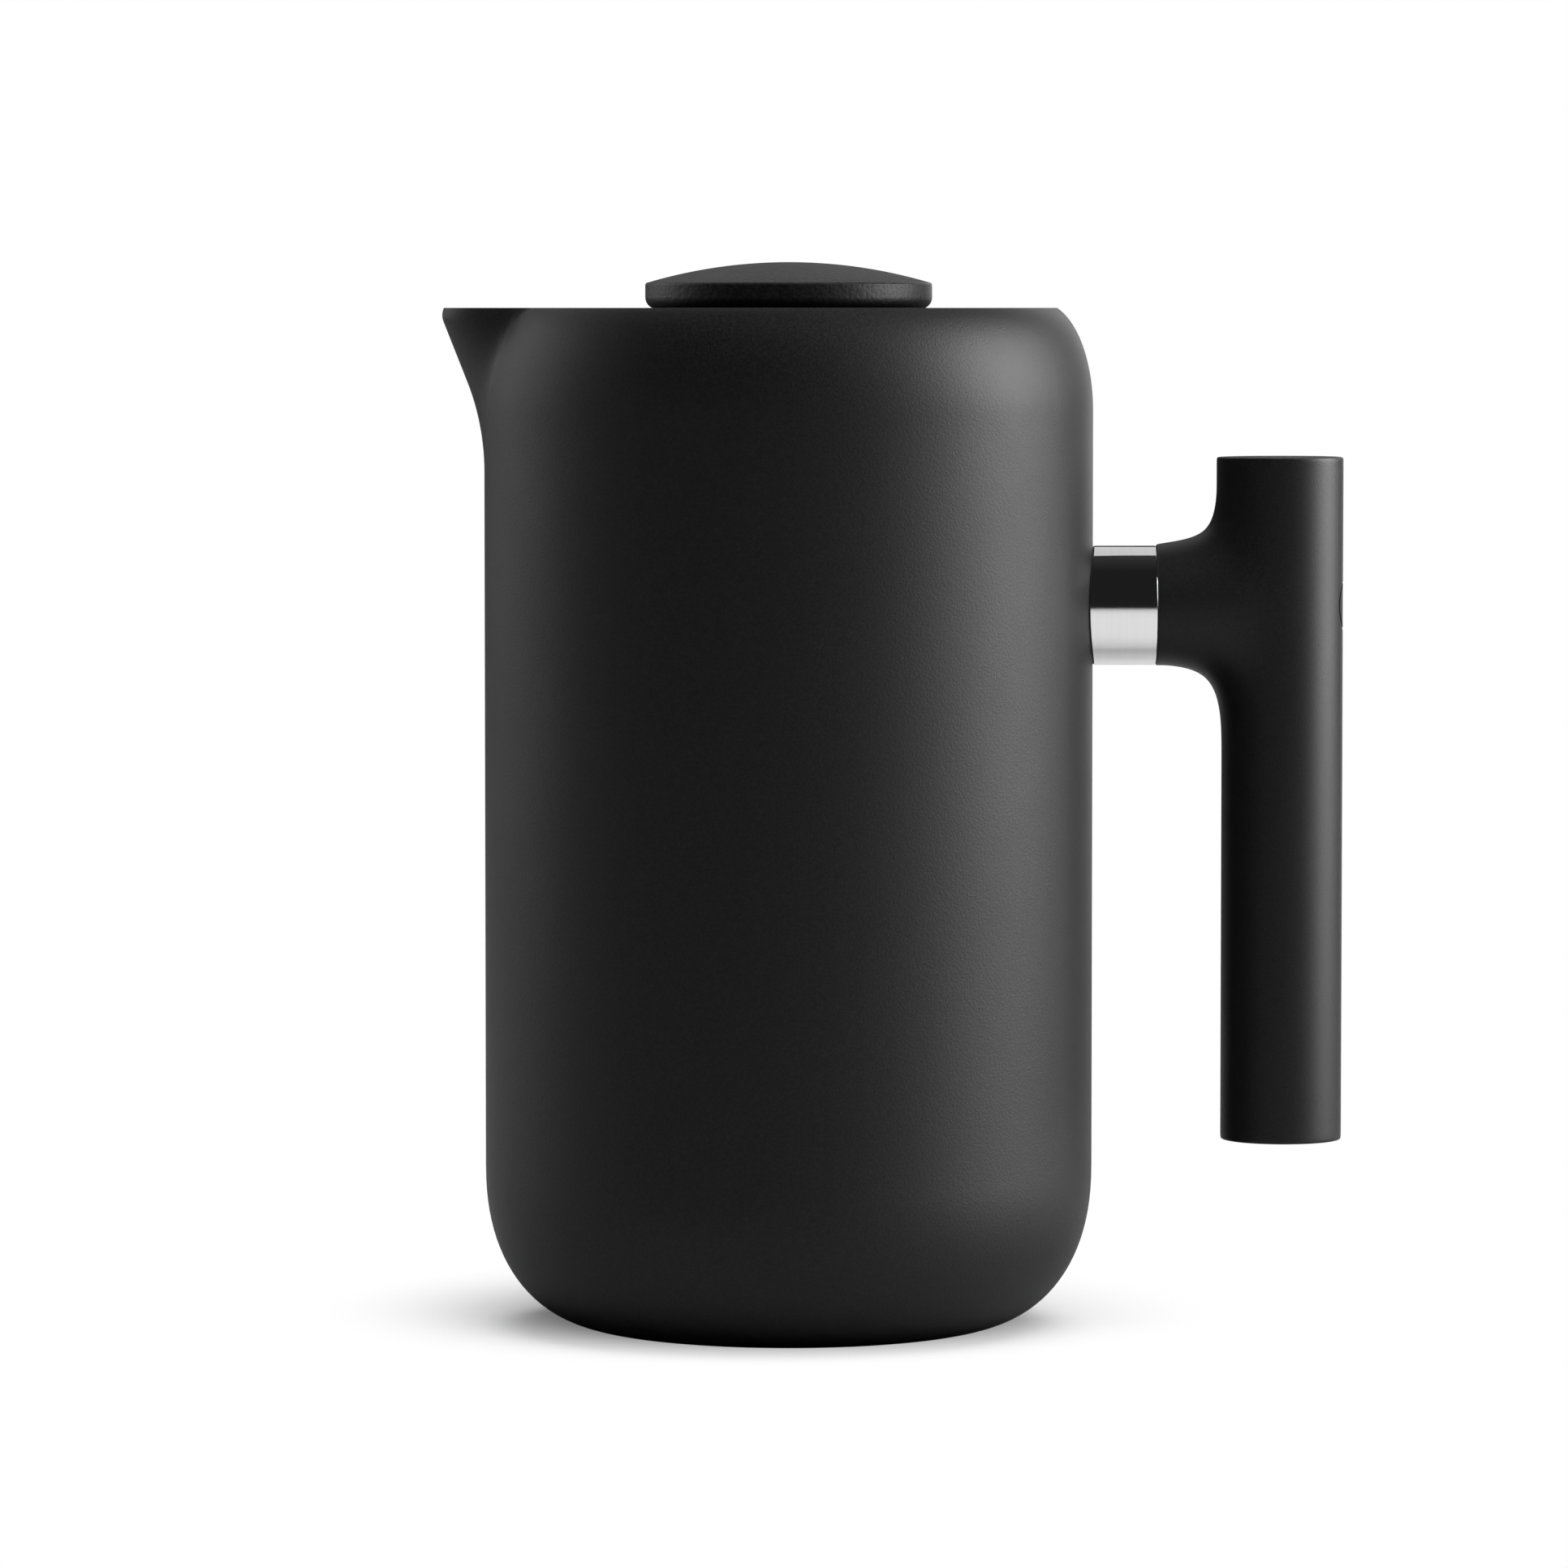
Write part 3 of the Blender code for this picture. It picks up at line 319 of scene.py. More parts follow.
def makeTurnedGroup():
    # fine lines that run round an axis, as turning or polishing leaves them
    group, start, end = newGroup(
        "turnedLines",
        [("Along Axis", 2500.0), ("Around Axis", 6.0), ("Bump Strength", 0.05), ("Bump Distance", 0.00002)],
        [("Lines", "NodeSocketFloat"), ("Normal", "NodeSocketVector")],
    )
    place = addNode(group, "ShaderNodeTexCoord", (-900, 200))
    split = addNode(group, "ShaderNodeSeparateXYZ", (-700, 200))
    across = addNode(group, "ShaderNodeCombineXYZ", (-400, 200))
    lines = addNode(group, "ShaderNodeTexNoise", (-100, 200), {"Detail": 3.0, "Scale": 1.0})
    stretch = addNode(group, "ShaderNodeMath", (-550, 300), operation="MULTIPLY")
    swing = addNode(group, "ShaderNodeMath", (-550, 50), operation="MULTIPLY")
    lift = addNode(group, "ShaderNodeMath", (-550, -150), operation="MULTIPLY")
    bump = addNode(group, "ShaderNodeBump", (200, -100))
    joinNodes(group, (
        (place, "Object", split, "Vector"),
        (split, "X", stretch, 0),
        (start, "Along Axis", stretch, 1),
        (split, "Y", swing, 0),
        (start, "Around Axis", swing, 1),
        (split, "Z", lift, 0),
        (start, "Around Axis", lift, 1),
        (stretch, "Value", across, "X"),
        (swing, "Value", across, "Y"),
        (lift, "Value", across, "Z"),
        (across, "Vector", lines, "Vector"),
        (lines, "Fac", bump, "Height"),
        (start, "Bump Strength", bump, "Strength"),
        (start, "Bump Distance", bump, "Distance"),
        (lines, "Fac", end, "Lines"),
        (bump, "Normal", end, "Normal"),
    ))
    return group


speckleGroup = makeSpeckleGroup()
wearGroup = makeWearGroup()
turnedGroup = makeTurnedGroup()


def newMaterial(name):
    material = bpy.data.materials.new(name)
    material.use_nodes = True
    tree = material.node_tree
    return material, tree, tree.nodes["Principled BSDF"]


def useGroup(tree, group, place, **values):
    node = addNode(tree, "ShaderNodeGroup", place, node_tree=group)
    for socketName, value in values.items():
        node.inputs[socketName.replace("_", " ")].default_value = value
    return node


def blendColours(tree, mask, first, second, place):
    mix = addNode(tree, "ShaderNodeMix", place, {"A": (*first, 1.0), "B": (*second, 1.0)}, data_type="RGBA")
    tree.links.new(mask, mix.inputs["Factor"])
    return mix


def spread(tree, source, low, high, place):
    # a value from 0 to 1 carried to the range low to high
    node = addNode(tree, "ShaderNodeMapRange", place, {"To Min": low, "To Max": high})
    tree.links.new(source, node.inputs["Value"])
    return node.outputs["Result"]


def makeCoatMaterial(name, dark, light, wornColour, roughness, grainScale, bumpStrength, specular=0.5):
    # a matte coat or moulding: grains of two near tones, uneven gloss, and paler proud edges
    material, tree, shader = newMaterial(name)
    speckle = useGroup(tree, speckleGroup, (-900, 0), Grain_Scale=grainScale, Bump_Strength=bumpStrength)
    wear = useGroup(tree, wearGroup, (-900, 350))
    grains = blendColours(tree, speckle.outputs["Grain"], dark, light, (-600, 200))
    worn = addNode(tree, "ShaderNodeMix", (-350, 250), {"B": (*wornColour, 1.0)}, data_type="RGBA")
    tree.links.new(grains.outputs["Result"], worn.inputs["A"])
    tree.links.new(wear.outputs["Wear"], worn.inputs["Factor"])
    tree.links.new(worn.outputs["Result"], shader.inputs["Base Color"])
    rough = spread(tree, speckle.outputs["Mottle"], roughness[0], roughness[1], (-350, -50))
    tree.links.new(rough, shader.inputs["Roughness"])
    tree.links.new(speckle.outputs["Normal"], shader.inputs["Normal"])
    shader.inputs["Specular IOR Level"].default_value = specular
    return material


def makeMetalMaterial(name, colour, shade, roughness, alongAxis, aroundAxis, bumpStrength):
    material, tree, shader = newMaterial(name)
    lines = useGroup(tree, turnedGroup, (-900, 0), Along_Axis=alongAxis, Around_Axis=aroundAxis,
                     Bump_Strength=bumpStrength)
    tones = blendColours(tree, lines.outputs["Lines"], colour, shade, (-500, 200))
    tree.links.new(tones.outputs["Result"], shader.inputs["Base Color"])
    rough = spread(tree, lines.outputs["Lines"], roughness[0], roughness[1], (-500, -50))
    tree.links.new(rough, shader.inputs["Roughness"])
    tree.links.new(lines.outputs["Normal"], shader.inputs["Normal"])
    shader.inputs["Metallic"].default_value = 1.0
    return material


powderCoat = makeCoatMaterial("powderCoat", (0.005, 0.005, 0.0052), (0.009, 0.009, 0.0092),
                              (0.03, 0.03, 0.031), (0.5, 0.57), 2600.0, 0.4, 0.2)
linerCoat = makeCoatMaterial("linerCoat", (0.008, 0.008, 0.0085), (0.014, 0.014, 0.0145),
                             (0.03, 0.03, 0.031), (0.34, 0.42), 1600.0, 0.12)
softPlastic = makeCoatMaterial("softPlastic", (0.005, 0.005, 0.0052), (0.009, 0.009, 0.0093),
                               (0.035, 0.035, 0.036), (0.44, 0.52), 3600.0, 0.16, 0.21)
knobPlastic = makeCoatMaterial("knobPlastic", (0.008, 0.008, 0.0082), (0.016, 0.016, 0.0163),
                               (0.035, 0.035, 0.036), (0.48, 0.58), 1500.0, 0.8, 0.3)
lidPlastic = makeCoatMaterial("lidPlastic", (0.009, 0.009, 0.0092), (0.014, 0.014, 0.0143),
                              (0.03, 0.03, 0.031), (0.42, 0.52), 3000.0, 0.2)
siliconeRubber = makeCoatMaterial("siliconeRubber", (0.012, 0.012, 0.0122), (0.02, 0.02, 0.0203),
                                  (0.03, 0.03, 0.03), (0.6, 0.72), 1800.0, 0.25)
bushPlastic = makeCoatMaterial("bushPlastic", (0.62, 0.61, 0.58), (0.7, 0.69, 0.66),
                               (0.75, 0.74, 0.72), (0.3, 0.4), 900.0, 0.08)
sealGlass = makeCoatMaterial("sealGlass", (0.12, 0.17, 0.13), (0.16, 0.22, 0.17),
                             (0.2, 0.26, 0.2), (0.12, 0.2), 700.0, 0.05)
getterAlloy = makeCoatMaterial("getterAlloy", (0.2, 0.19, 0.185), (0.33, 0.32, 0.31),
                               (0.4, 0.39, 0.38), (0.5, 0.7), 1500.0, 0.5)
polishedSteel = makeMetalMaterial("polishedSteel", (0.82, 0.81, 0.81), (0.76, 0.75, 0.76),
                                  (0.05, 0.1), 1800.0, 25.0, 0.03)
satinSteel = makeMetalMaterial("satinSteel", (0.62, 0.61, 0.6), (0.54, 0.53, 0.53),
                               (0.26, 0.38), 900.0, 900.0, 0.12)
rodSteel = makeMetalMaterial("rodSteel", (0.7, 0.69, 0.69), (0.62, 0.61, 0.61),
                             (0.1, 0.18), 40.0, 1500.0, 0.05)
turnedBrass = makeMetalMaterial("turnedBrass", (0.75, 0.56, 0.26), (0.62, 0.45, 0.2),
                                (0.2, 0.3), 300.0, 1500.0, 0.1)


def makeGauzeMaterial():
    # square woven wire: two sets of wires that pass over and under, with open gaps between them
    material, tree, shader = newMaterial("gauzeSteel")
    link = tree.links.new
    pitch = 0.0009
    place = addNode(tree, "ShaderNodeTexCoord", (-1500, 0))
    split = addNode(tree, "ShaderNodeSeparateXYZ", (-1300, 0))
    link(place.outputs["Object"], split.inputs["Vector"])

    def wave(axis, turns, shift, y):
        scale = addNode(tree, "ShaderNodeMath", (-1100, y), {1: turns * math.tau / pitch, 2: shift},
                        operation="MULTIPLY_ADD")
        link(split.outputs[axis], scale.inputs[0])
        cosine = addNode(tree, "ShaderNodeMath", (-900, y), operation="COSINE")
        link(scale.outputs["Value"], cosine.inputs[0])
        return cosine.outputs["Value"]

    def combine(operation, first, second, x, y):
        node = addNode(tree, "ShaderNodeMath", (x, y), operation=operation)
        link(first, node.inputs[0])
        if hasattr(second, "default_value"):
            link(second, node.inputs[1])
        else:
            node.inputs[1].default_value = second
        return node.outputs["Value"]

    alongX, alongY = wave("Y", 1, 0.0, 300), wave("X", 1, 0.0, 100)
    overX, overY = wave("X", 0.5, 0.0, -100), wave("Y", 0.5, math.pi / 2, -300)
    lift = combine("MULTIPLY", overX, overY, -700, -200)
    liftX = combine("MULTIPLY", lift, 0.35, -500, -150)
    liftY = combine("MULTIPLY", lift, -0.35, -500, -300)
    heightX = combine("ADD", alongX, liftX, -300, 250)
    heightY = combine("ADD", alongY, liftY, -300, 50)
    height = combine("MAXIMUM", heightX, heightY, -100, 150)
    bump = addNode(tree, "ShaderNodeBump", (200, -150), {"Distance": 0.00012})
    link(height, bump.inputs["Height"])
    link(bump.outputs["Normal"], shader.inputs["Normal"])
    solid = addNode(tree, "ShaderNodeMapRange", (100, 150), {"From Min": -0.15, "From Max": 0.15},
                    interpolation_type="SMOOTHSTEP")
    link(height, solid.inputs["Value"])
    link(solid.outputs["Result"], shader.inputs["Alpha"])
    # painted shade: the steel is coloured dark where the wires fall low, along their edges and where one wire
    # dips under the other
    tones = blendColours(tree, solid.outputs["Result"], (0.12, 0.12, 0.12), (0.6, 0.59, 0.58), (200, 350))
    link(tones.outputs["Result"], shader.inputs["Base Color"])
    shader.inputs["Metallic"].default_value = 1.0
    shader.inputs["Roughness"].default_value = 0.32
    return material


gauzeSteel = makeGauzeMaterial()
print("materials made")

shellLow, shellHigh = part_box("outer_shell")
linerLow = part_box("inner_liner")[0]
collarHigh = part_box("handle_collar")[1]
handleLow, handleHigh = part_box("handle")
knobLow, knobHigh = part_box("knob_shell")
capLow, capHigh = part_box("lid_cap")
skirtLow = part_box("lid_frame")[0]

vesselSizes = {
    "columns": 240,
    "bodyRadius": shellHigh.x,
    "foot": shellLow.z,
    "rim": 0.175,
    "rimRadius": 0.0458,
    "flatRadius": 0.02925,
    "openingRadius": 0.027,
    "cornerHeight": 0.028,
    "cornerFullness": 2.26,
    "shoulderDrop": 0.0175,
    "shoulderRise": 0.0183,
    "wall": 0.00055,
    "lipWidth": 0.0019,
    "lipDrop": 0.003,
    "lipRound": 0.00055,
}
spoutSizes = {
    "depth": 0.028,
    "bendRadius": 0.042,
    "lean": math.radians(21.5),
    "noseDepth": 0.0024,
    "noseRound": 0.001,
    "halfAngle": math.radians(17.8),
    "footShare": 0.45,
    "channelDepth": 0.026,
    "channelEase": 1.35,
}


def shoulderRadius(depth):
    v = vesselSizes
    if depth >= v["shoulderDrop"]:
        return v["bodyRadius"]
    topRise = v["shoulderDrop"] / v["shoulderRise"]
    inset = (v["bodyRadius"] - v["rimRadius"]) / (1 - math.sqrt(1 - topRise**2))
    rise = (v["shoulderDrop"] - depth) / v["shoulderRise"]
    return v["bodyRadius"] - inset * (1 - math.sqrt(1 - rise**2))


def spoutRadius(depth):
    # the middle line of the spout: an arc away from the wall, then a straight lean
    s = spoutSizes
    rise = s["depth"] - depth
    arcRise = s["bendRadius"] * math.sin(s["lean"])
    if rise <= arcRise:
        return vesselSizes["bodyRadius"] + s["bendRadius"] - math.sqrt(s["bendRadius"] ** 2 - rise**2)
    arcOut = s["bendRadius"] * (1 - math.cos(s["lean"]))
    nose = s["noseRound"] * max(0.0, 1 - depth / s["noseDepth"]) ** 2
    return vesselSizes["bodyRadius"] + arcOut + (rise - arcRise) * math.tan(s["lean"]) - nose


def spoutWeight(angle, depth):
    # 1 on the spout's middle line and 0 at its edge, which narrows towards the foot
    s = spoutSizes
    halfAngle = s["halfAngle"] * (1 - (1 - s["footShare"]) * depth / s["depth"])
    across = min(1.0, abs(angle) / halfAngle)
    return (1 - across**2) ** 1.5


def skinRadius(angle, depth):
    plain = shoulderRadius(depth)
    if depth >= spoutSizes["depth"]:
        return plain
    return plain + (spoutRadius(depth) - plain) * spoutWeight(angle, depth)


def fromSpout(x, y):
    # the angle round the axis, counted from the spout at -X
    return math.atan2(y, -x)


def rimPoint(angle, inset=0.0):
    # a point of the rim in plan, moved in square to the rim line
    def onRim(a):
        radius = skinRadius(a, 0.0)
        return Vector((-radius * math.cos(a), radius * math.sin(a)))

    small = 0.001
    along = (onRim(angle + small) - onRim(angle - small)).normalized()
    inward = Vector((along.y, -along.x))
    here = onRim(angle)
    if inward.dot(here) > 0:
        inward = -inward
    return here + inward * inset


def channelPoint(angle, depth, extra=0.0):
    # the inside of the vessel: round below, and following the lip and the spout at the rim
    bore = vesselSizes["rimRadius"] - vesselSizes["lipWidth"] + extra
    plain = Vector((-bore * math.cos(angle), bore * math.sin(angle)))
    share = max(0.0, 1 - depth / spoutSizes["channelDepth"]) ** spoutSizes["channelEase"]
    lip = rimPoint(angle, vesselSizes["lipWidth"] - extra)
    return plain.lerp(lip, share)


def makeOuterShell():
    v = vesselSizes
    outline = [(v["openingRadius"], v["foot"])]
    cornerSteps = 26
    power = 2 / v["cornerFullness"]
    for i in range(cornerSteps + 1):
        turn = math.pi / 2 * i / cornerSteps
        out = max(0.0, math.sin(turn)) ** power
        up = 1 - max(0.0, math.cos(turn)) ** power
        outline.append((v["flatRadius"] + (v["bodyRadius"] - v["flatRadius"]) * out,
                        v["foot"] + v["cornerHeight"] * up))
    wallSteps = 6
    wallTop = v["rim"] - spoutSizes["depth"]
    wallFoot = outline[-1][1]
    outline += [(v["bodyRadius"], wallFoot + (wallTop - wallFoot) * i / wallSteps)
                for i in range(1, wallSteps + 1)]
    spoutSteps = 34
    for i in range(1, spoutSteps + 1):
        depth = spoutSizes["depth"] * (1 - math.sin(math.pi / 2 * i / spoutSteps))
        outline.append((shoulderRadius(depth), v["rim"] - depth))
    shell = latheShape("outerShell", outline, v["columns"])
    # press the spout out
    for vert in shell.data.vertices:
        depth = v["rim"] - vert.co.z
        if depth < spoutSizes["depth"]:
            angle = fromSpout(vert.co.x, vert.co.y)
            radius = skinRadius(angle, depth)
            vert.co.x = -radius * math.cos(angle)
            vert.co.y = radius * math.sin(angle)
    # the lip: the rim's edge is carried inwards, then down into the bore
    for stage in ("across", "down"):
        makeActive(shell)
        editMode()
        selectOpenEdges()
        objectMode()
        edgeHeight = v["rim"] - 1e-5
        for part in (shell.data.edges, shell.data.polygons):
            for item in part:
                item.select = False
        for vert in shell.data.vertices:
            vert.select = vert.select and vert.co.z > edgeHeight
        chosen = {vert.index for vert in shell.data.vertices if vert.select}
        for edge in shell.data.edges:
            edge.select = edge.vertices[0] in chosen and edge.vertices[1] in chosen
        editMode("EDGE")
        bpy.ops.mesh.extrude_edges_move(TRANSFORM_OT_translate={"value": (0, 0, 0)})
        objectMode()
        for vert in shell.data.vertices:
            if not vert.select:
                continue
            angle = fromSpout(vert.co.x, vert.co.y)
            if stage == "across":
                place = rimPoint(angle, v["lipWidth"])
                vert.co.x, vert.co.y = place
            else:
                vert.co.z -= v["lipDrop"]
    return shell


def smoothLip(shell):
    # rounds the two edges of the lip; the skin gets its wall after this
    v = vesselSizes
    makeActive(shell)
    clearSelection(shell)
    for edge in shell.data.edges:
        first, second = (shell.data.vertices[i].co for i in edge.vertices)
        if min(first.z, second.z) > v["rim"] - 1e-5:
            reach = abs(Vector((first.x, first.y)).length - Vector((second.x, second.y)).length)
            gap = (first - second).length
            edge.select = gap < v["lipWidth"] * 0.95 or reach < v["lipWidth"] * 0.5
    editMode("EDGE")
    bpy.ops.mesh.bevel(offset=v["lipRound"], segments=4, profile=0.5, clamp_overlap=True)
    objectMode()
    faceOut(shell)


outerShell = makeOuterShell()
smoothLip(outerShell)
applyModifier(outerShell, "SOLIDIFY", thickness=vesselSizes["wall"], offset=-1.0, use_even_offset=True)
finishPiece(outerShell, "vessel", powderCoat, ["outer_shell"], angle=50)
print("outer shell:", len(outerShell.data.polygons), "faces")


linerSizes = {"floorTop": linerLow.z + 0.0008, "cornerRadius": 0.014, "wall": 0.0008, "cornerSteps": 14,
              "lipGap": 0.00005, "wallRun": 0.05, "channelSteps": 24}


def makeInnerLiner():
    s = linerSizes
    bore = vesselSizes["rimRadius"] - vesselSizes["lipWidth"]
    flat = bore - s["cornerRadius"]
    outline = [(0.0, s["floorTop"]), (flat * 0.5, s["floorTop"])]
    outline += arcPoints((flat, s["floorTop"] + s["cornerRadius"]), s["cornerRadius"], s["cornerRadius"],
                         -90, 0, s["cornerSteps"])
    top = vesselSizes["rim"] - vesselSizes["lipDrop"] - s["lipGap"]
    channelFoot = vesselSizes["rim"] - spoutSizes["channelDepth"]
    outline += [(bore, channelFoot - s["wallRun"]), (bore, channelFoot)]
    outline += [(bore, channelFoot + (top - channelFoot) * i / s["channelSteps"])
                for i in range(1, s["channelSteps"] + 1)]
    liner = latheShape("innerLiner", outline, vesselSizes["columns"])
    for vert in liner.data.vertices:
        depth = vesselSizes["rim"] - vert.co.z
        if depth < spoutSizes["channelDepth"]:
            vert.co.x, vert.co.y = channelPoint(fromSpout(vert.co.x, vert.co.y), depth)
    applyModifier(liner, "SOLIDIFY", thickness=s["wall"], offset=1.0, use_even_offset=True)
    faceOut(liner)
    return liner


finishPiece(makeInnerLiner(), "vessel", linerCoat, ["inner_liner"], angle=50)
print("liner made")


padSizes = {"radius": 0.0267, "top": 0.0013, "edge": 0.0003, "grooves": (0.0085, 0.0165, 0.0235),
            "grooveDepth": 0.0004, "grooveFloor": 0.6}


def makeBasePad():
    s = padSizes
    outline = [(0.0, s["top"])]
    outline += arcPoints((s["radius"] - s["edge"], s["top"] - s["edge"]), s["edge"], s["edge"], 90, 0, 3)
    outline += arcPoints((s["radius"] - s["edge"], s["edge"]), s["edge"], s["edge"], 0, -90, 3)
    for radius in reversed(s["grooves"]):
        half, floor = s["grooveDepth"], s["grooveDepth"] * s["grooveFloor"]
        outline += [(radius + half, 0.0), (radius + floor, half),
                    (radius - floor, half), (radius - half, 0.0)]
    outline.append((0.0, 0.0))
    return latheShape("basePad", outline, 128)


finishPiece(makeBasePad(), "vessel", siliconeRubber, ["base_pad"])

# handle: the collar between its two gaskets, the T-shaped grip, and the plug over the bolt
neckSizes = {"height": 0.1242, "radius": 0.01025, "shellRadius": 0.052, "saddleSides": 720,
             "saddleDepth": 0.1}
collarSizes = {"start": 0.00027, "end": collarHigh.x, "radius": 0.01019, "wall": 0.0017, "edge": 0.00008,
               "overlap": 0.006, "saddleEase": 0.0001}
# gaskets: what each leaves of the neck's radius, and where along the neck it begins and ends
gasketSizes = {"wall": 0.0016, "inset": 0.0002, "edge": 0.0002, "rawStart": 0.046, "rawEnd": 0.056,
               "start": 0.00005, "end": 0.00023, "gripGap": 0.00003, "gripThickness": 0.00012,
               "gripEdge": 0.00004}


def bodyCylinder(radius):
    # a tall cylinder on the vessel's axis, to cut a saddle with
    deselectAll()
    bpy.ops.mesh.primitive_cylinder_add(vertices=neckSizes["saddleSides"], radius=radius,
                                        depth=neckSizes["saddleDepth"], location=(0, 0, neckSizes["height"]))
    return placeInMesh(nameIt("saddleCutter"), move=(0, 0, neckSizes["height"]))


def nearSaddle(point, start):
    return abs(math.hypot(point.x, point.y) - neckSizes["shellRadius"] - start) < 2e-5


def ringOnNeck(name, inner, outer, start, end, edge, edgeSteps, steps):
    return latheShape(name, roundedRing(inner, outer, start, end, edge, edgeSteps), steps, closed=True,
                      alongX=True, centre=(0, 0, neckSizes["height"]))


def makeCollar():
    s = collarSizes
    collar = ringOnNeck("handleCollar", neckSizes["radius"] - s["wall"], s["radius"],
                        neckSizes["shellRadius"] - s["overlap"], s["end"], s["edge"], 4, 144)
    cutAway(collar, bodyCylinder(neckSizes["shellRadius"] + s["start"]))
    # ease the saddle's sharp edges
    bevelWhere(collar, lambda a, b: nearSaddle(a, s["start"]) and nearSaddle(b, s["start"]),
               s["saddleEase"], 2)
    return collar


def makeCollarGasket():
    s = gasketSizes
    gasket = ringOnNeck("collarGasket", neckSizes["radius"] - s["wall"], neckSizes["radius"] - s["inset"],
                        s["rawStart"], s["rawEnd"], s["edge"], 3, 144)
    cutAway(gasket, bodyCylinder(neckSizes["shellRadius"] + s["end"]), "INTERSECT")
    cutAway(gasket, bodyCylinder(neckSizes["shellRadius"] + s["start"]))
    return gasket


def makeGripGasket():
    s = gasketSizes
    start = collarSizes["end"] + s["gripGap"]
    return ringOnNeck("gripGasket", neckSizes["radius"] - s["wall"], neckSizes["radius"] - s["inset"],
                      start, start + s["gripThickness"], s["gripEdge"], 2, 96)


finishPiece(makeCollar(), "vessel", polishedSteel, ["handle_collar"], angle=30)
finishPiece(makeCollarGasket(), "vessel", siliconeRubber, ["collar_gasket"])
finishPiece(makeGripGasket(), "vessel", siliconeRubber, ["grip_gasket"])
print("collar and gaskets made")


handleSizes = {
    "axis": handleHigh.x - 0.01035,
    "radius": 0.01035,
    "bottom": handleLow.z,
    "top": handleHigh.z,
    "cageSides": 16,
    "columnAngle": 22.5,
    "limitShare": 0.97463,  # how far a 16-sided cage shrinks when it is subdivided
    "cutRise": 0.014,
    "holeReach": 0.0145,
    "rows": (0.0333, 0.042, 0.055, 0.07, 0.085, 0.098, 0.1454, 0.1488),
    "branchRise": (0.0178, 0.017, 0.0146, 0.0092, 0.0096, 0.011, 0.012, 0.012, 0.012),
    "branchSide": 0.01045,
    "stubForward": 0.0011,
    "cornerX": (0.0716, 0.0724, 0.0746, 0.0768, 0.0765),
    "cornerRadius": (0.0123, 0.0121, 0.0115, 0.0108, 0.01055),
    "neckStep": 0.00004,
    "neckX": (0.066, 0.0631, 0.06286),
    "swell": {0.066: (0.0006, 0.0), 0.0631: (0.0002, 0.0)},  # extra rise above and below the neck's axis
    "cornerSwell": (0.0003, -0.0003),
    "neckEdge": 0.00025,
    "spigotRadius": 0.00825,
    "spigotFoot": 0.0004,
    "spigotEase": 0.0006,
    "spigotStart": 0.0525,
    "endInset": 0.0008,
    "levels": 3,
    "socketHalf": 0.0053,
    "socketEnd": 0.0621,
    "socketDepth": 0.03,
    "boltHole": 0.0023,
    "boltSeat": 0.0753,
    "plugHole": 0.0044,
    "plugRadius": 0.00378,
    "plugDepth": 0.0065,
    "plugSides": 96,
    "mouthReach": 0.0015,
    "mouthEase": 0.00006,
    "saddleGap": 0.0013,
    "boreOverrun": 0.004,
}


def columnOf(vert):
    # how many cage columns a point lies from the side that faces the vessel
    angle = math.degrees(math.atan2(vert.co.y, handleSizes["axis"] - vert.co.x))
    return round(angle / handleSizes["columnAngle"])


def branchAngle(vert):
    # the place round the neck that a point of the branch's edge goes to
    rise = vert.co.z - neckSizes["height"]
    if abs(rise) < 0.001:
        return 0.0 if vert.co.y > 0 else math.pi
    return math.copysign(1, rise) * (math.pi / 2 - columnOf(vert) * math.radians(handleSizes["columnAngle"]))


def makeHandleCage():
    s = handleSizes
    deselectAll()
    cageRadius = s["radius"] / s["limitShare"]
    middle = (s["top"] + s["bottom"]) / 2
    bpy.ops.mesh.primitive_cylinder_add(vertices=s["cageSides"], radius=cageRadius,
                                        depth=s["top"] - s["bottom"], location=(s["axis"], 0, middle))
    cage = placeInMesh(nameIt("handleGrip"), move=(s["axis"], 0, middle))
    rise = s["cutRise"]
    cuts = s["rows"] + tuple(neckSizes["height"] + step for step in (-rise, 0.0, rise))
    editMode()
    for height in cuts:
        bpy.ops.mesh.select_all(action="SELECT")
        bpy.ops.mesh.bisect(plane_co=(0, 0, height), plane_no=(0, 0, 1))
    bpy.ops.mesh.select_mode(type="FACE")
    bpy.ops.mesh.select_all(action="DESELECT")
    objectMode()
    # ends: a ring inside each end face keeps its edge tight
    for face in cage.data.polygons:
        face.select = abs(face.normal.z) > 0.9
    editMode()
    bpy.ops.mesh.inset(thickness=s["endInset"], depth=0)
    objectMode()
    # the stub above the branch stands a little nearer the vessel
    for vert in cage.data.vertices:
        if vert.co.z > neckSizes["height"] + 0.001 and abs(columnOf(vert)) < 3:
            vert.co.x -= s["stubForward"] * (1 - abs(columnOf(vert)) / 3)
    # rows above and below the branch follow its edge
    for vert in cage.data.vertices:
        step = vert.co.z - neckSizes["height"]
        if abs(abs(step) - rise) < 1e-5:
            vert.co.z = neckSizes["height"] + math.copysign(s["branchRise"][abs(columnOf(vert))], step)
    clearSelection(cage)
    for face in cage.data.polygons:
        out = face.center - Vector((s["axis"], 0, 0))
        angle = abs(math.degrees(math.atan2(out.y, -out.x)))
        rise = abs(face.center.z - neckSizes["height"])
        face.select = angle < 3 * s["columnAngle"] and rise < s["holeReach"]
    editMode()
    bpy.ops.mesh.delete(type="FACE")
    objectMode()
    return cage


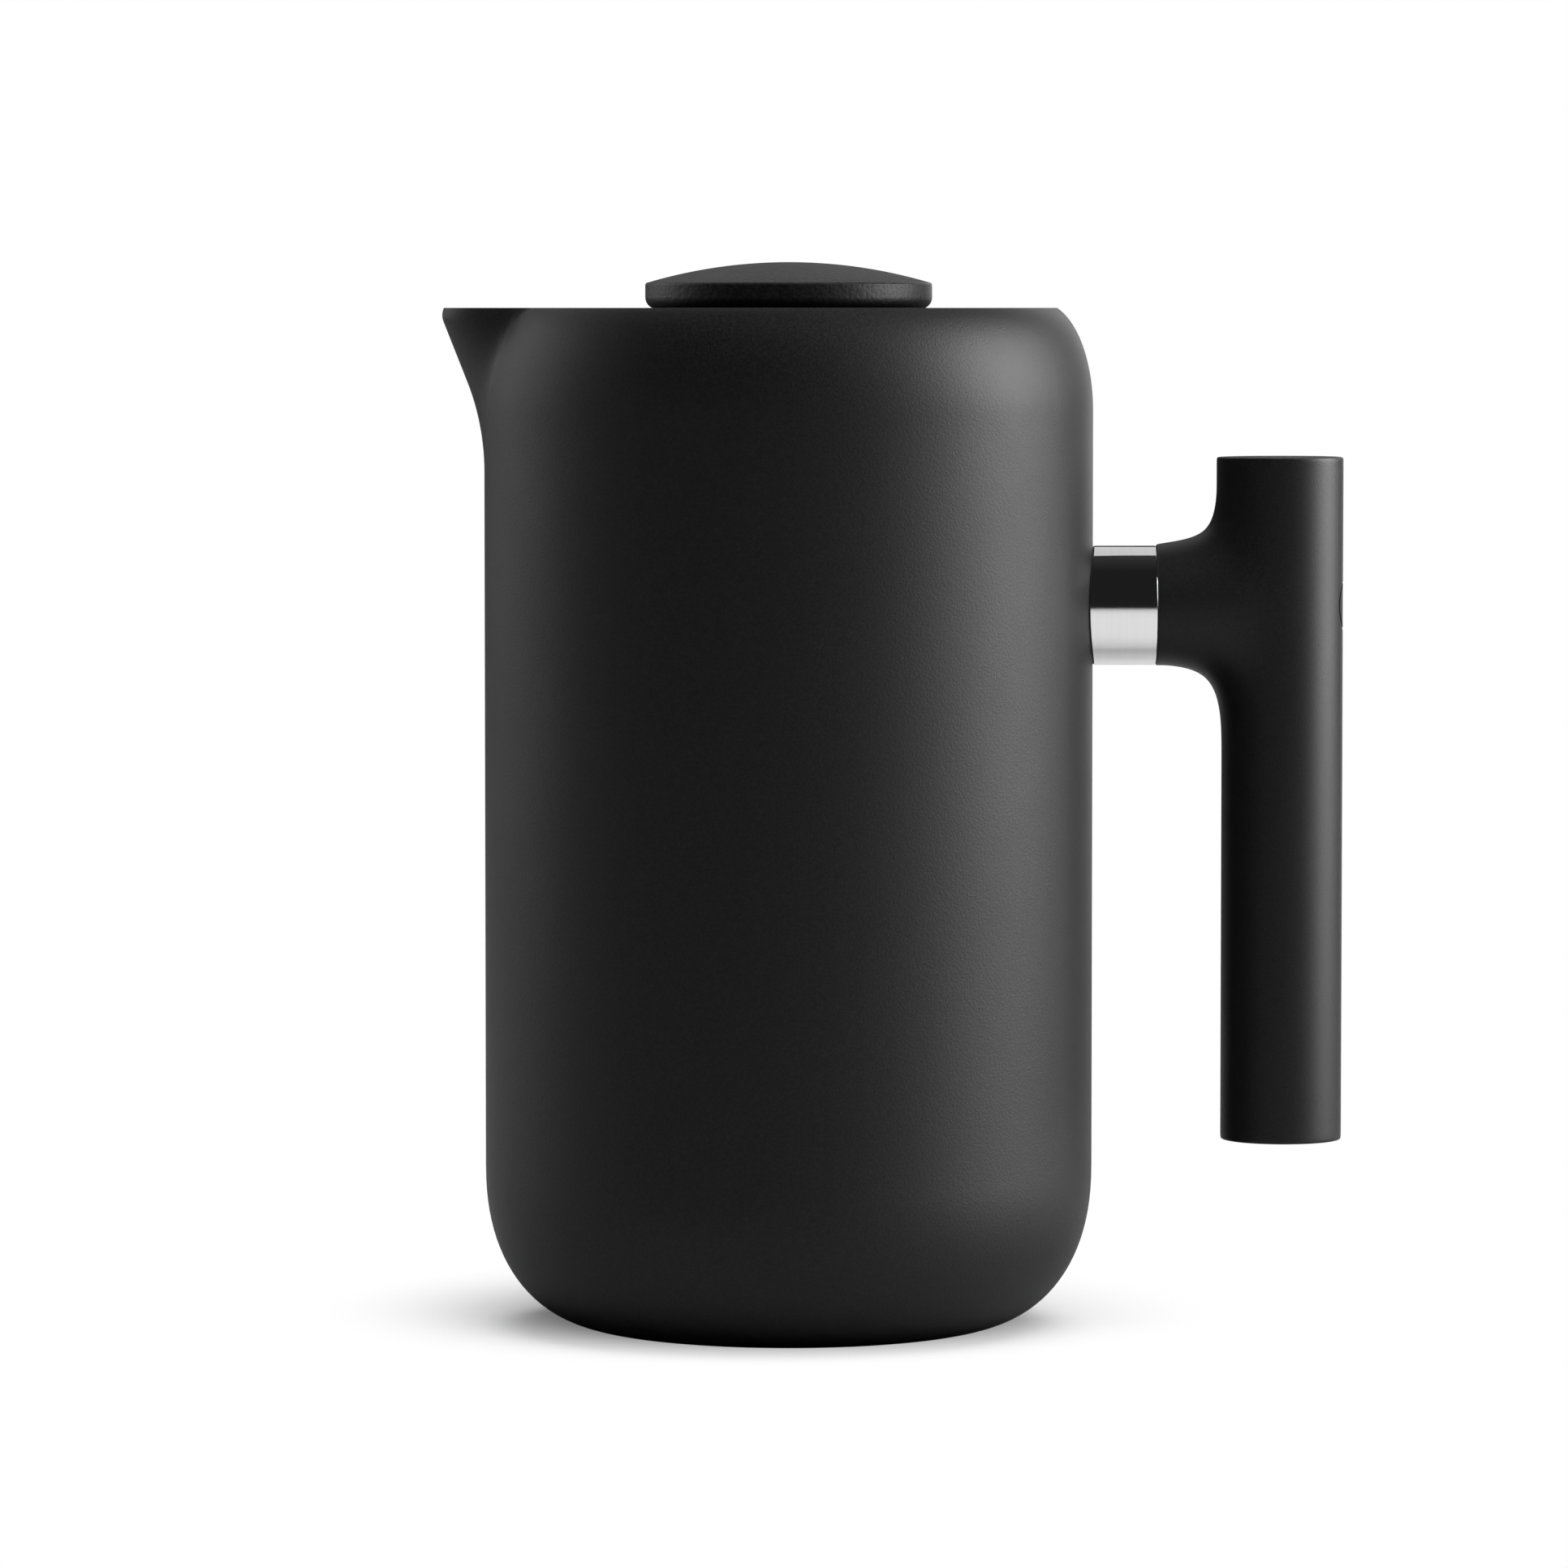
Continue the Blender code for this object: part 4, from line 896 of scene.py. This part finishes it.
def growNeck(cage):
    s = handleSizes
    height = neckSizes["height"]
    share = s["limitShare"]
    neckRadius = (neckSizes["radius"] + s["neckStep"]) / share
    spigot = s["spigotRadius"] / share
    neckEnd = s["neckX"][-1]
    rings = [("corner", 0.0, 0.0)]
    rings += [("ring", x, neckRadius) for x in s["neckX"]]
    rings += [("ring", neckEnd, neckRadius - s["neckEdge"]), ("ring", neckEnd, spigot + s["spigotFoot"]),
              ("ring", neckEnd, spigot), ("ring", neckEnd - s["spigotEase"], spigot),
              ("ring", s["spigotStart"], spigot)]
    makeActive(cage)
    editMode("EDGE")
    selectOpenEdges()
    first = True
    for kind, x, radius in rings:
        bpy.ops.mesh.extrude_edges_move(TRANSFORM_OT_translate={"value": (0, 0, 0)})
        objectMode()
        chosen = [vert for vert in cage.data.vertices if vert.select]
        for vert in chosen:
            angle = branchAngle(vert) if first else math.atan2(vert.co.z - height, vert.co.y)
            if kind == "corner":
                level = round(abs(math.degrees(math.pi / 2 - abs(angle))) / s["columnAngle"])
                x, radius = s["cornerX"][level], s["cornerRadius"][level]
            swell = s["swell"].get(x, s["cornerSwell"] if kind == "corner" else (0.0, 0.0))
            lift = swell[0] if angle > 0 else swell[1]
            vert.co = (x, radius * math.cos(angle), height + (radius + lift) * math.sin(angle))
        first = False
        editMode()
    bpy.ops.mesh.edge_face_add()
    objectMode()
    # the branch's sides run straight into the grip
    for vert in cage.data.vertices:
        if abs(vert.co.z - height) < 1e-5 and abs(columnOf(vert)) == 3 and vert.co.x > 0.0785:
            vert.co.y = math.copysign(s["branchSide"], vert.co.y)
    faceOut(cage)


def cylinderAlongX(radius, start, end, sides):
    deselectAll()
    bpy.ops.mesh.primitive_cylinder_add(vertices=sides, radius=radius, depth=end - start)
    piece = placeInMesh(nameIt("cutter"), turn=(0, math.radians(90), 0))
    return placeInMesh(piece, move=((start + end) / 2, 0, neckSizes["height"]))


def makeHandle():
    s = handleSizes
    grip = makeHandleCage()
    growNeck(grip)
    applyModifier(grip, "SUBSURF", levels=s["levels"], render_levels=s["levels"])
    side = 2 * s["socketHalf"]
    cutAway(grip, addBlock("socketCutter", (s["socketDepth"], side, side),
                           (s["socketEnd"] - s["socketDepth"] / 2, 0, neckSizes["height"])))
    cutAway(grip, bodyCylinder(neckSizes["shellRadius"] + s["saddleGap"]))
    over = s["boreOverrun"]
    cutAway(grip, cylinderAlongX(s["boltHole"], s["socketEnd"] - over, s["boltSeat"] + over, 48))
    cutAway(grip, cylinderAlongX(s["plugHole"], s["boltSeat"], s["axis"] + 0.02, s["plugSides"]))
    back = s["axis"] + s["radius"]

    def onBoreEdge(first, second):
        # the bore's mouth on the back of the grip
        return all(abs(math.hypot(p.y, p.z - neckSizes["height"]) - s["plugHole"]) < 4e-5
                   and p.x > back - s["mouthReach"] for p in (first, second))

    bevelWhere(grip, onBoreEdge, s["mouthEase"], 1)
    return grip


def makeBoltPlug():
    s = handleSizes
    back = s["axis"] + s["radius"]
    plug = cylinderAlongX(s["plugRadius"], back - s["plugDepth"], back + 0.002, s["plugSides"])
    plug.name = plug.data.name = "boltPlug"
    deselectAll()
    bpy.ops.mesh.primitive_cylinder_add(vertices=360, radius=s["radius"] - 0.00002, depth=0.05,
                                        location=(s["axis"], 0, neckSizes["height"]))
    gripCurve = placeInMesh(nameIt("gripCurve"), move=(s["axis"], 0, neckSizes["height"]))
    cutAway(plug, gripCurve, "INTERSECT")
    bevelWhere(plug, lambda a, b: min(a.x, b.x) > back - s["mouthReach"], s["mouthEase"], 2)
    return plug


finishPiece(makeHandle(), "vessel", softPlastic, ["handle"], angle=40)
finishPiece(makeBoltPlug(), "vessel", softPlastic, ["bolt_plug"], angle=30)
print("handle made")

# lid: cap, slotted frame, wiping gasket, screws and the rod's bush
lidSizes = {
    "capRadius": 0.0414, "capTop": capHigh.z, "capBottom": capLow.z, "capEdge": 0.0009, "rodHole": 0.0031,
    "dishRadius": 0.037, "dishDepth": 0.00025,
    "skirtRadius": 0.0404, "skirtInner": 0.0388, "skirtBottom": skirtLow.z,
    "plateTop": 0.1712, "plateBottom": 0.1697, "flangeRadius": 0.0434, "flangeTop": 0.1557,
    "upperRadius": 0.0417, "upperBottom": 0.1598, "upperTop": 0.161, "ease": 0.0002, "flangeEase": 0.0004,
    "bossRadius": 0.0067, "bossBottom": 0.16, "bossBore": 0.0044, "bossLip": 0.0012,
    "slots": 20, "slotDepth": 0.006, "slotWidth": 0.0028, "slotHeight": 0.0065,
    "slotMiddle": 0.16535, "slotRound": 0.0013,
    "gasketInner": 0.0407, "gasketOuter": 0.0436, "gasketBottom": 0.156, "gasketTop": 0.1595,
    "gasketLip": 0.0009, "gasketRidges": (0.18, 0.5, 0.82),
    "screwCircle": 0.0229, "screwHead": 0.0028, "screwHeadTop": 0.1694, "screwHeadHeight": 0.0015,
    "screwRadius": 0.0013, "screwTip": 0.1735, "screwSlot": 0.0007, "screwSlotDepth": 0.0007, "screwCount": 3,
}


def makeLidCap():
    s = lidSizes
    radius, edge, top, bottom = s["capRadius"], s["capEdge"], s["capTop"], s["capBottom"]
    dish, slope = top - s["dishDepth"], top - s["dishDepth"] * 0.3
    outline = [(s["rodHole"], bottom), (s["rodHole"], top - 0.0003), (s["rodHole"] + 0.0003, top),
               (0.0085, top), (0.009, slope), (0.0105, dish), (s["dishRadius"] - 0.0015, dish),
               (s["dishRadius"] - 0.0003, slope), (s["dishRadius"], top)]
    outline += arcPoints((radius - edge, top - edge), edge, edge, 90, 0, 6)
    outline += [(radius, bottom + s["ease"]), (radius - s["ease"], bottom)]
    return latheShape("lidCap", outline, 180, closed=True)


def ringOfCopies(piece, count, firstTurn):
    # copies a cutter round the axis and joins the copies to it
    copies = []
    for number in range(1, count):
        copy = copyOf(piece)
        placeInMesh(copy, turn=(0, 0, firstTurn + math.tau * number / count))
        copies.append(copy)
    placeInMesh(piece, turn=(0, 0, firstTurn))
    deselectAll()
    for copy in copies + [piece]:
        copy.select_set(True)
    bpy.context.view_layer.objects.active = piece
    bpy.ops.object.join()
    return piece


def makeSlotCutter():
    s = lidSizes
    cutter = addBlock("slotCutter", (s["slotDepth"], s["slotWidth"], s["slotHeight"]),
                      (s["skirtRadius"] - 0.0008, 0, s["slotMiddle"]))
    bevelWhere(cutter, lambda a, b: abs(a.x - b.x) > s["slotDepth"] / 2, s["slotRound"], 5)
    return ringOfCopies(cutter, s["slots"], math.pi / s["slots"])


def makeLidFrame():
    s = lidSizes
    skirt, inner, ease = s["skirtRadius"], s["skirtInner"], s["ease"]
    flange, foot, wide = s["flangeRadius"], s["skirtBottom"], s["flangeEase"]
    plate, boss = s["plateBottom"], s["bossRadius"]
    outline = [
        (s["bossBore"], s["plateTop"]), (skirt - ease, s["plateTop"]), (skirt, s["plateTop"] - ease),
        (skirt, s["upperTop"]), (s["upperRadius"] - ease, s["upperTop"]),
        (s["upperRadius"], s["upperTop"] - ease),
        (s["upperRadius"], s["upperBottom"] + ease), (s["upperRadius"] - ease, s["upperBottom"]),
        (skirt, s["upperBottom"]), (skirt, s["flangeTop"]), (flange - wide, s["flangeTop"]),
        (flange, s["flangeTop"] - wide), (flange, foot + wide), (flange - wide, foot), (inner + ease, foot),
        (inner, foot + ease), (inner, plate - 0.0012), (inner - 0.0004, plate - 0.0004),
        (inner - 0.0012, plate), (boss + 0.001, plate), (boss + 0.0003, plate - 0.0003),
        (boss, plate - 0.001), (boss, s["bossBottom"] + ease),
        (boss - ease, s["bossBottom"]), (s["rodHole"] + ease, s["bossBottom"]),
        (s["rodHole"], s["bossBottom"] + ease), (s["rodHole"], s["bossBottom"] + s["bossLip"]),
        (s["bossBore"], s["bossBottom"] + s["bossLip"]),
    ]
    lidFrame = latheShape("lidFrame", outline, 180, closed=True)
    cutAway(lidFrame, makeSlotCutter())
    return lidFrame


def makeLidGasket():
    s = lidSizes
    inner, outer, lip = s["gasketInner"], s["gasketOuter"], s["gasketLip"]
    low, top = s["gasketBottom"], s["gasketTop"]
    height = top - low
    outline = [(inner, low), (inner, top), (outer - lip, top)]
    for share in s["gasketRidges"]:
        middle = top - height * share
        outline += [(outer - lip, middle + 0.00035), (outer - 0.0001, middle + 0.00012), (outer, middle),
                    (outer - 0.0001, middle - 0.00012), (outer - lip, middle - 0.00035)]
    outline.append((outer - lip, low))
    return latheShape("lidGasket", outline, 180, closed=True)


def makeLidScrew():
    s = lidSizes
    top, low = s["screwHeadTop"], s["screwHeadTop"] - s["screwHeadHeight"]
    head = s["screwHead"]
    shank, tip = s["screwRadius"], s["screwTip"]
    outline = [(0.0, tip), (shank * 0.6, tip), (shank, tip - 0.0005), (shank, top), (head, top)]
    outline += [(head, low + 0.0006), (head - 0.0003, low + 0.0002), (head - 0.0009, low), (0.0, low)]
    screw = latheShape("lidScrew1", outline, 48)
    cutAway(screw, addBlock("driverSlot", (0.01, s["screwSlot"], 2 * s["screwSlotDepth"]), (0, 0, low)))
    return screw


def makeLidScrews():
    s = lidSizes
    first = makeLidScrew()
    screws = [first]
    for number in range(2, s["screwCount"] + 1):
        copy = copyOf(first)
        copy.name = copy.data.name = "lidScrew" + str(number)
        screws.append(copy)
    for number, screw in enumerate(screws):
        angle = math.tau * (number + 0.5) / s["screwCount"]
        placeInMesh(screw, turn=(0, 0, angle * 2.3))
        placeInMesh(screw, move=(s["screwCircle"] * math.cos(angle), s["screwCircle"] * math.sin(angle), 0))
        finishPiece(screw, "lid", satinSteel, ["lid_screw_" + str(number + 1)], angle=30)


def makeRodBush():
    low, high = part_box("rod_bush")
    return latheShape("rodBush", roundedRing(0.0028, high.x, low.z, high.z, 0.0003, 3), 64, closed=True)


lidCap = finishPiece(makeLidCap(), "lid", lidPlastic, ["lid_cap"])
slottedSkirt = finishPiece(makeLidFrame(), "lid", lidPlastic, ["lid_frame"])
finishPiece(makeLidGasket(), "lid", siliconeRubber, ["lid_gasket"], angle=50)
makeLidScrews()
finishPiece(makeRodBush(), "lid", bushPlastic, ["rod_bush"])
print("lid made")

# plunger: rod, knob and the filter stack
knobSizes = {
    "radius": knobHigh.x, "top": knobHigh.z, "bottom": knobLow.z, "domeRadius": 0.085, "edge": 0.0005,
    "fillet": 0.002, "wall": 0.0018, "baseRadius": 0.0213, "baseTop": 0.1762, "lip": 0.0216,
    "boreRadius": 0.004, "domeSteps": 28, "underside": (0.0216, 0.017, 0.012, 0.006), "baseHole": 0.0028,
    "insertBottom": 0.1765, "insertTop": 0.1807, "bossRadius": 0.006,
}


def domeHeight(radius, sphere, top):
    return top - sphere + math.sqrt(sphere**2 - radius**2)


def makeKnobShell():
    s = knobSizes
    side = s["radius"] - s["edge"]
    steps = s["domeSteps"]
    outline = [(side * i / steps, domeHeight(side * i / steps, s["domeRadius"], s["top"]))
               for i in range(steps + 1)]
    edgeTop = outline[-1][1]
    slope = math.degrees(math.acos(side / s["domeRadius"]))
    outline += arcPoints((side, edgeTop - s["edge"]), s["edge"], s["edge"], slope, 0, 5)
    fillet = s["fillet"]
    outline += arcPoints((s["radius"] - fillet, s["bottom"] + fillet), fillet, fillet, 0, -90, 8)
    inside = s["domeRadius"] - s["wall"]
    outline += [(s["lip"], s["bottom"])]
    outline += [(r, domeHeight(r, inside, s["top"] - s["wall"])) for r in s["underside"]]
    outline += [(s["bossRadius"], s["insertBottom"]), (s["boreRadius"], s["insertBottom"]),
                (s["boreRadius"], s["insertTop"]), (0.0, s["insertTop"])]
    return latheShape("knobShell", outline, 180)


def makeKnobBase():
    s = knobSizes
    outline = roundedRing(s["baseHole"], s["baseRadius"], s["bottom"], s["baseTop"], 0.0002, 3)
    return latheShape("knobBase", outline, 128, closed=True)


rodSizes = {"radius": 0.0025, "top": 0.1801, "flangeRadius": 0.005, "flangeTop": 0.0286,
            "flangeBottom": 0.0266, "threadRadius": 0.002, "tip": 0.0205, "threadPitch": 0.0007,
            "threadDepth": 0.00025}


def makePlungerRod():
    s = rodSizes
    ease = 0.0003
    outline = [(0.0, s["top"]), (s["radius"] - ease, s["top"]), (s["radius"], s["top"] - ease),
               (s["radius"], s["flangeTop"] + 0.0008), (s["radius"] + 0.0006, s["flangeTop"]),
               (s["flangeRadius"] - ease, s["flangeTop"]), (s["flangeRadius"], s["flangeTop"] - ease),
               (s["flangeRadius"], s["flangeBottom"]), (s["threadRadius"], s["flangeBottom"])]
    height = s["flangeBottom"] - 0.0012
    while height - s["threadPitch"] > s["tip"] + 0.0003:
        outline += [(s["threadRadius"], height),
                    (s["threadRadius"] - s["threadDepth"], height - s["threadPitch"] / 2)]
        height -= s["threadPitch"]
    outline += [(s["threadRadius"], height), (s["threadRadius"] - ease, s["tip"]), (0.0, s["tip"])]
    return latheShape("plungerRod", outline, 64)


filterSizes = {
    "crossLow": 0.0235, "plate": 0.0009, "crossRadius": 0.041, "hole": 0.0023, "topLow": 0.0254,
    "topRadius": 0.0402,
    "crossHole": 0.0062, "topHole": 0.004, "holeEdge": 0.00015, "firstHole": math.radians(2.3),
    "meshLow": 0.0247, "meshThickness": 0.0004, "meshRadius": 0.0435,
    "meshFlat": 0.0395, "meshSteps": 6, "meshEdge": 0.0001,
    "crimpStart": 0.0397, "crimps": 72, "crimpRise": 0.00012,
    "springCircle": 0.042, "springRadius": 0.00125, "springMiddle": 0.0269, "wire": 0.00022, "turns": 118,
    "pointsATurn": 10,
    "nutRadius": 0.0065, "nutLow": 0.0202, "nutTop": 0.0232, "nutKnurls": 24, "nutKnurlDepth": 0.0005,
}


def cutHoleRings(plate, counts, holeRadius, low, plateRadius):
    s = filterSizes
    web = (plateRadius - s["nutRadius"] - 2 * holeRadius * len(counts)) / (len(counts) + 1)
    rims = []
    for number, count in enumerate(counts):
        circle = s["nutRadius"] + (number + 1) * web + (2 * number + 1) * holeRadius
        deselectAll()
        bpy.ops.mesh.primitive_cylinder_add(vertices=48, radius=holeRadius, depth=0.004)
        punch = placeInMesh(nameIt("holePunch"), move=(circle, 0, low))
        cutAway(plate, ringOfCopies(punch, count, s["firstHole"]))
        rims += [(circle, s["firstHole"] + math.tau * i / count) for i in range(count)]
    centres = [Vector((c * math.cos(a), c * math.sin(a))) for c, a in rims]

    def onHole(first, second):
        return all(min(abs((Vector((p.x, p.y)) - centre).length - holeRadius) for centre in centres) < 2e-5
                   for p in (first, second))

    bevelWhere(plate, onHole, s["holeEdge"], 2)


def makeFilterPlate(name, which, counts):
    # a pressed plate with a ring of holes for each count
    s = filterSizes
    radius, low, holeRadius = s[which + "Radius"], s[which + "Low"], s[which + "Hole"]
    top = low + s["plate"]
    plate = latheShape(name, roundedRing(s["hole"], radius, low, top, 0.0003, 3), 144, closed=True)
    cutHoleRings(plate, counts, holeRadius, low, radius)
    return plate


def makeFilterMesh():
    s = filterSizes
    low, top = s["meshLow"], s["meshLow"] + s["meshThickness"]
    steps, flat = s["meshSteps"], s["meshFlat"]
    reach = [flat + (s["meshRadius"] - flat - s["meshEdge"]) * i / steps for i in range(steps + 1)]
    outline = [(s["hole"], low), (s["hole"], top)]
    outline += [(out, top) for out in reach]
    outline += [(s["meshRadius"], (low + top) / 2)]
    outline += [(out, low) for out in reversed(reach)]
    mesh = latheShape("filterMesh", outline, 432, closed=True)
    for vert in mesh.data.vertices:
        radius = math.hypot(vert.co.x, vert.co.y)
        if radius > s["crimpStart"]:
            share = (radius - s["crimpStart"]) / (s["meshRadius"] - s["crimpStart"])
            wave = math.sin(s["crimps"] * math.atan2(vert.co.y, vert.co.x))
            vert.co.z += s["crimpRise"] * wave * share
    return mesh


def makeFilterSpring():
    # one wire wound round a ring, as a curve that is then made a mesh
    s = filterSizes
    total = s["turns"] * s["pointsATurn"]
    wireCurve = bpy.data.curves.new("filterSpring", "CURVE")
    wireCurve.dimensions = "3D"
    spline = wireCurve.splines.new("POLY")
    spline.points.add(total - 1)
    for i in range(total):
        around = math.tau * i / total
        turn = math.tau * i / s["pointsATurn"]
        out = s["springCircle"] + s["springRadius"] * math.cos(turn)
        spline.points[i].co = (out * math.cos(around), out * math.sin(around),
                               s["springMiddle"] + s["springRadius"] * math.sin(turn), 1.0)
    spline.use_cyclic_u = True
    wireCurve.bevel_depth = s["wire"]
    wireCurve.bevel_resolution = 1
    spring = bpy.data.objects.new("filterSpring", wireCurve)
    bpy.context.collection.objects.link(spring)
    makeActive(spring)
    bpy.ops.object.convert(target="MESH")
    spring = nameIt("filterSpring")
    faceOut(spring)
    return spring


def makeFilterNut():
    s = filterSizes
    outline = roundedRing(s["hole"] - 0.0002, s["nutRadius"], s["nutLow"], s["nutTop"], 0.0005, 3)
    nut = latheShape("filterNut", outline, s["nutKnurls"] * 6, closed=True)
    for vert in nut.data.vertices:
        radius = math.hypot(vert.co.x, vert.co.y)
        if radius > s["nutRadius"] - 0.0006:
            wave = 0.5 - 0.5 * math.cos(s["nutKnurls"] * math.atan2(vert.co.y, vert.co.x))
            share = 1 - s["nutKnurlDepth"] * wave ** 2 / radius
            vert.co.x *= share
            vert.co.y *= share
    return nut


knobShell = finishPiece(makeKnobShell(), "plunger", knobPlastic, ["knob_shell"], angle=40)
finishPiece(makeKnobBase(), "plunger", lidPlastic, ["knob_base"])
finishPiece(makePlungerRod(), "plunger", rodSteel, ["plunger_rod"])
finishPiece(makeFilterPlate("filterCrossPlate", "cross", (6,)), "plunger", satinSteel,
            ["filter_cross_plate"])
finishPiece(makeFilterPlate("filterTopPlate", "top", (6, 12)), "plunger", satinSteel,
            ["filter_top_plate"])
finishPiece(makeFilterMesh(), "plunger", gauzeSteel, ["filter_mesh"])
finishPiece(makeFilterSpring(), "plunger", satinSteel, ["filter_spring"], angle=60)
finishPiece(makeFilterNut(), "plunger", satinSteel, ["filter_nut"])
print("plunger made")

# pieces that stay as the frame has them, with their own finishes
carried = {
    "base_cup": satinSteel, "vacuum_seal": sealGlass, "vacuum_getter": getterAlloy, "handle_boss": satinSteel,
    "handle_bolt": satinSteel, "bolt_washer": satinSteel, "knob_insert": turnedBrass,
}
for nodeName, material in carried.items():
    node = bpy.data.objects[nodeName]
    if not node.material_slots:
        node.data.materials.append(material)
    for slot in node.material_slots:
        slot.material = material
print("carried pieces finished")


def makeStage():
    # a white floor; it looks paler to the camera than to the glossy pieces that mirror it
    deselectAll()
    bpy.ops.mesh.primitive_plane_add(size=30)
    floor = nameIt("studioFloor")
    material = bpy.data.materials.new("studioFloorWhite")
    material.use_nodes = True
    tree = material.node_tree
    shader = tree.nodes["Principled BSDF"]
    shader.inputs["Roughness"].default_value = 0.95
    shader.inputs["Specular IOR Level"].default_value = 0.0
    rays = addNode(tree, "ShaderNodeLightPath", (-900, 300))
    place = addNode(tree, "ShaderNodeTexCoord", (-900, -100))
    # painted light: to the camera the floor also glows white, a little within fadeStart of fadeCentre and
    # fully past fadeEnd, so its shadows show only in that circle and fade out there
    centre = addNode(tree, "ShaderNodeVectorMath", (-800, -250), {1: stageSizes["fadeCentre"]},
                     operation="SUBTRACT")
    reach = addNode(tree, "ShaderNodeVectorMath", (-700, -100), operation="LENGTH")
    fade = addNode(tree, "ShaderNodeMapRange", (-500, -100),
                   {"From Min": stageSizes["fadeStart"], "From Max": stageSizes["fadeEnd"]},
                   interpolation_type="SMOOTHSTEP")
    lift = addNode(tree, "ShaderNodeMapRange", (-380, 0), {"To Min": stageSizes["floorGlow"]})
    seen = addNode(tree, "ShaderNodeMath", (-250, 100), operation="MULTIPLY")
    glow = addNode(tree, "ShaderNodeEmission", (0, -200))
    mix = addNode(tree, "ShaderNodeMixShader", (300, 0))
    dim = blendColours(tree, rays.outputs["Is Camera Ray"], [stageSizes["mirroredShade"]] * 3,
                       [stageSizes["floorShade"]] * 3, (-250, 400))
    joinNodes(tree, (
        (dim, "Result", shader, "Base Color"),
        (place, "Object", centre, 0),
        (centre, "Vector", reach, 0),
        (reach, "Value", fade, "Value"),
        (rays, "Is Camera Ray", seen, 0),
        (fade, "Result", lift, "Value"),
        (lift, "Result", seen, 1),
        (seen, "Value", mix, "Fac"),
        (shader, "BSDF", mix, 1),
        (glow, "Emission", mix, 2),
        (mix, "Shader", tree.nodes["Material Output"], "Surface"),
    ))
    floor.data.materials.append(material)


def makeWorld():
    # white to the camera; a dim room to everything else, darker on the camera's side
    world = bpy.data.worlds.new("studioRoom")
    bpy.context.scene.world = world
    world.use_nodes = True
    tree = world.node_tree
    room = tree.nodes["Background"]
    rays = addNode(tree, "ShaderNodeLightPath", (-600, 300))
    place = addNode(tree, "ShaderNodeTexCoord", (-900, -100))
    split = addNode(tree, "ShaderNodeSeparateXYZ", (-700, -100))
    ramp = addNode(tree, "ShaderNodeMapRange", (-500, -100),
                   {"From Min": -0.3, "From Max": 0.9, "To Min": stageSizes["roomFront"],
                    "To Max": stageSizes["roomBack"]})
    white = addNode(tree, "ShaderNodeBackground", (-300, 300))
    mix = addNode(tree, "ShaderNodeMixShader", (0, 200))
    for background in (room, white):
        background.inputs["Color"].default_value = (1, 1, 1, 1)
    joinNodes(tree, (
        (place, "Generated", split, "Vector"),
        (split, "Y", ramp, "Value"),
        (ramp, "Result", room, "Strength"),
        (rays, "Is Camera Ray", mix, "Fac"),
        (room, "Background", mix, 1),
        (white, "Background", mix, 2),
        (mix, "Shader", tree.nodes["World Output"], "Surface"),
    ))


def addSoftbox(name, place, aim, width, height, radiance, seenInGloss=True, lightsFloor=True):
    # an area light of the given size whose face has the given brightness
    lamp = bpy.data.lights.new(name, "AREA")
    lamp.shape = "RECTANGLE"
    lamp.size = width
    lamp.size_y = height
    lamp.energy = radiance * math.pi * width * height
    softbox = bpy.data.objects.new(name, lamp)
    bpy.context.scene.collection.objects.link(softbox)
    softbox.location = place
    softbox.rotation_euler = (Vector(aim) - Vector(place)).to_track_quat("-Z", "Y").to_euler()
    softbox.visible_camera = False
    softbox.visible_glossy = seenInGloss
    softbox.visible_diffuse = lightsFloor
    return softbox


def limitLight(light, pieces, linkState):
    # a light that reaches only the given pieces, or all but them
    chosen = bpy.data.collections.new(light.name + "Pieces")
    for piece in pieces:
        chosen.objects.link(piece)
    for entry in chosen.collection_objects:
        entry.light_linking.link_state = linkState
    light.light_linking.receiver_collection = chosen


stageSizes = {"fadeCentre": (-0.004, 0.025, 0), "fadeStart": 0.03, "fadeEnd": 0.08, "floorGlow": 0.1,
              "floorShade": 0.93, "mirroredShade": 0.68, "roomFront": 0.014, "roomBack": 0.06}
makeStage()
makeWorld()
# the level tops would mirror the strong side light as glare from the spout's side
sideSoftbox = addSoftbox("sideSoftbox", (0.9, -0.02, 0.4), (0, 0, 0.13), 0.6, 0.64, 25.0, lightsFloor=False)
limitLight(sideSoftbox, [lidCap, slottedSkirt, knobShell], "EXCLUDE")
knobSoftbox = addSoftbox("knobSoftbox", (0.9, -0.02, 0.3), (0, 0, 0.13), 0.6, 0.5, 12.0, lightsFloor=False)
limitLight(knobSoftbox, [knobShell, slottedSkirt], "INCLUDE")
addSoftbox("fillSoftbox", (-0.87, 0.42, 0.4), (0, 0, 0.12), 0.8, 0.66, 2.4, lightsFloor=False)
addSoftbox("rimSoftbox", (0.48, 1.2, 0.32), (0, 0, 0.12), 0.35, 0.9, 3.0, lightsFloor=False)
addSoftbox("topSoftbox", (0.0, 0.85, 0.95), (0, 0, 0.1), 1.8, 0.9, 0.66, lightsFloor=False)
addSoftbox("floorSoftbox", (0.25, -0.2, 1.2), (0, 0, 0.0), 1.3, 1.3, 5.0, seenInGloss=False)

cameraSizes = {"lens": 181.86, "distance": 1.355, "side": -0.0008, "height": 0.175, "tilt": 3.44}
cameraData = bpy.data.cameras.new("studioCamera")
cameraData.lens = cameraSizes["lens"]
cameraData.sensor_width = 36.0
camera = bpy.data.objects.new("studioCamera", cameraData)
bpy.context.scene.collection.objects.link(camera)
camera.location = (cameraSizes["side"], -cameraSizes["distance"], cameraSizes["height"])
camera.rotation_euler = (math.radians(90 - cameraSizes["tilt"]), 0, 0)
bpy.context.scene.camera = camera
bpy.context.scene.view_settings.view_transform = "Standard"
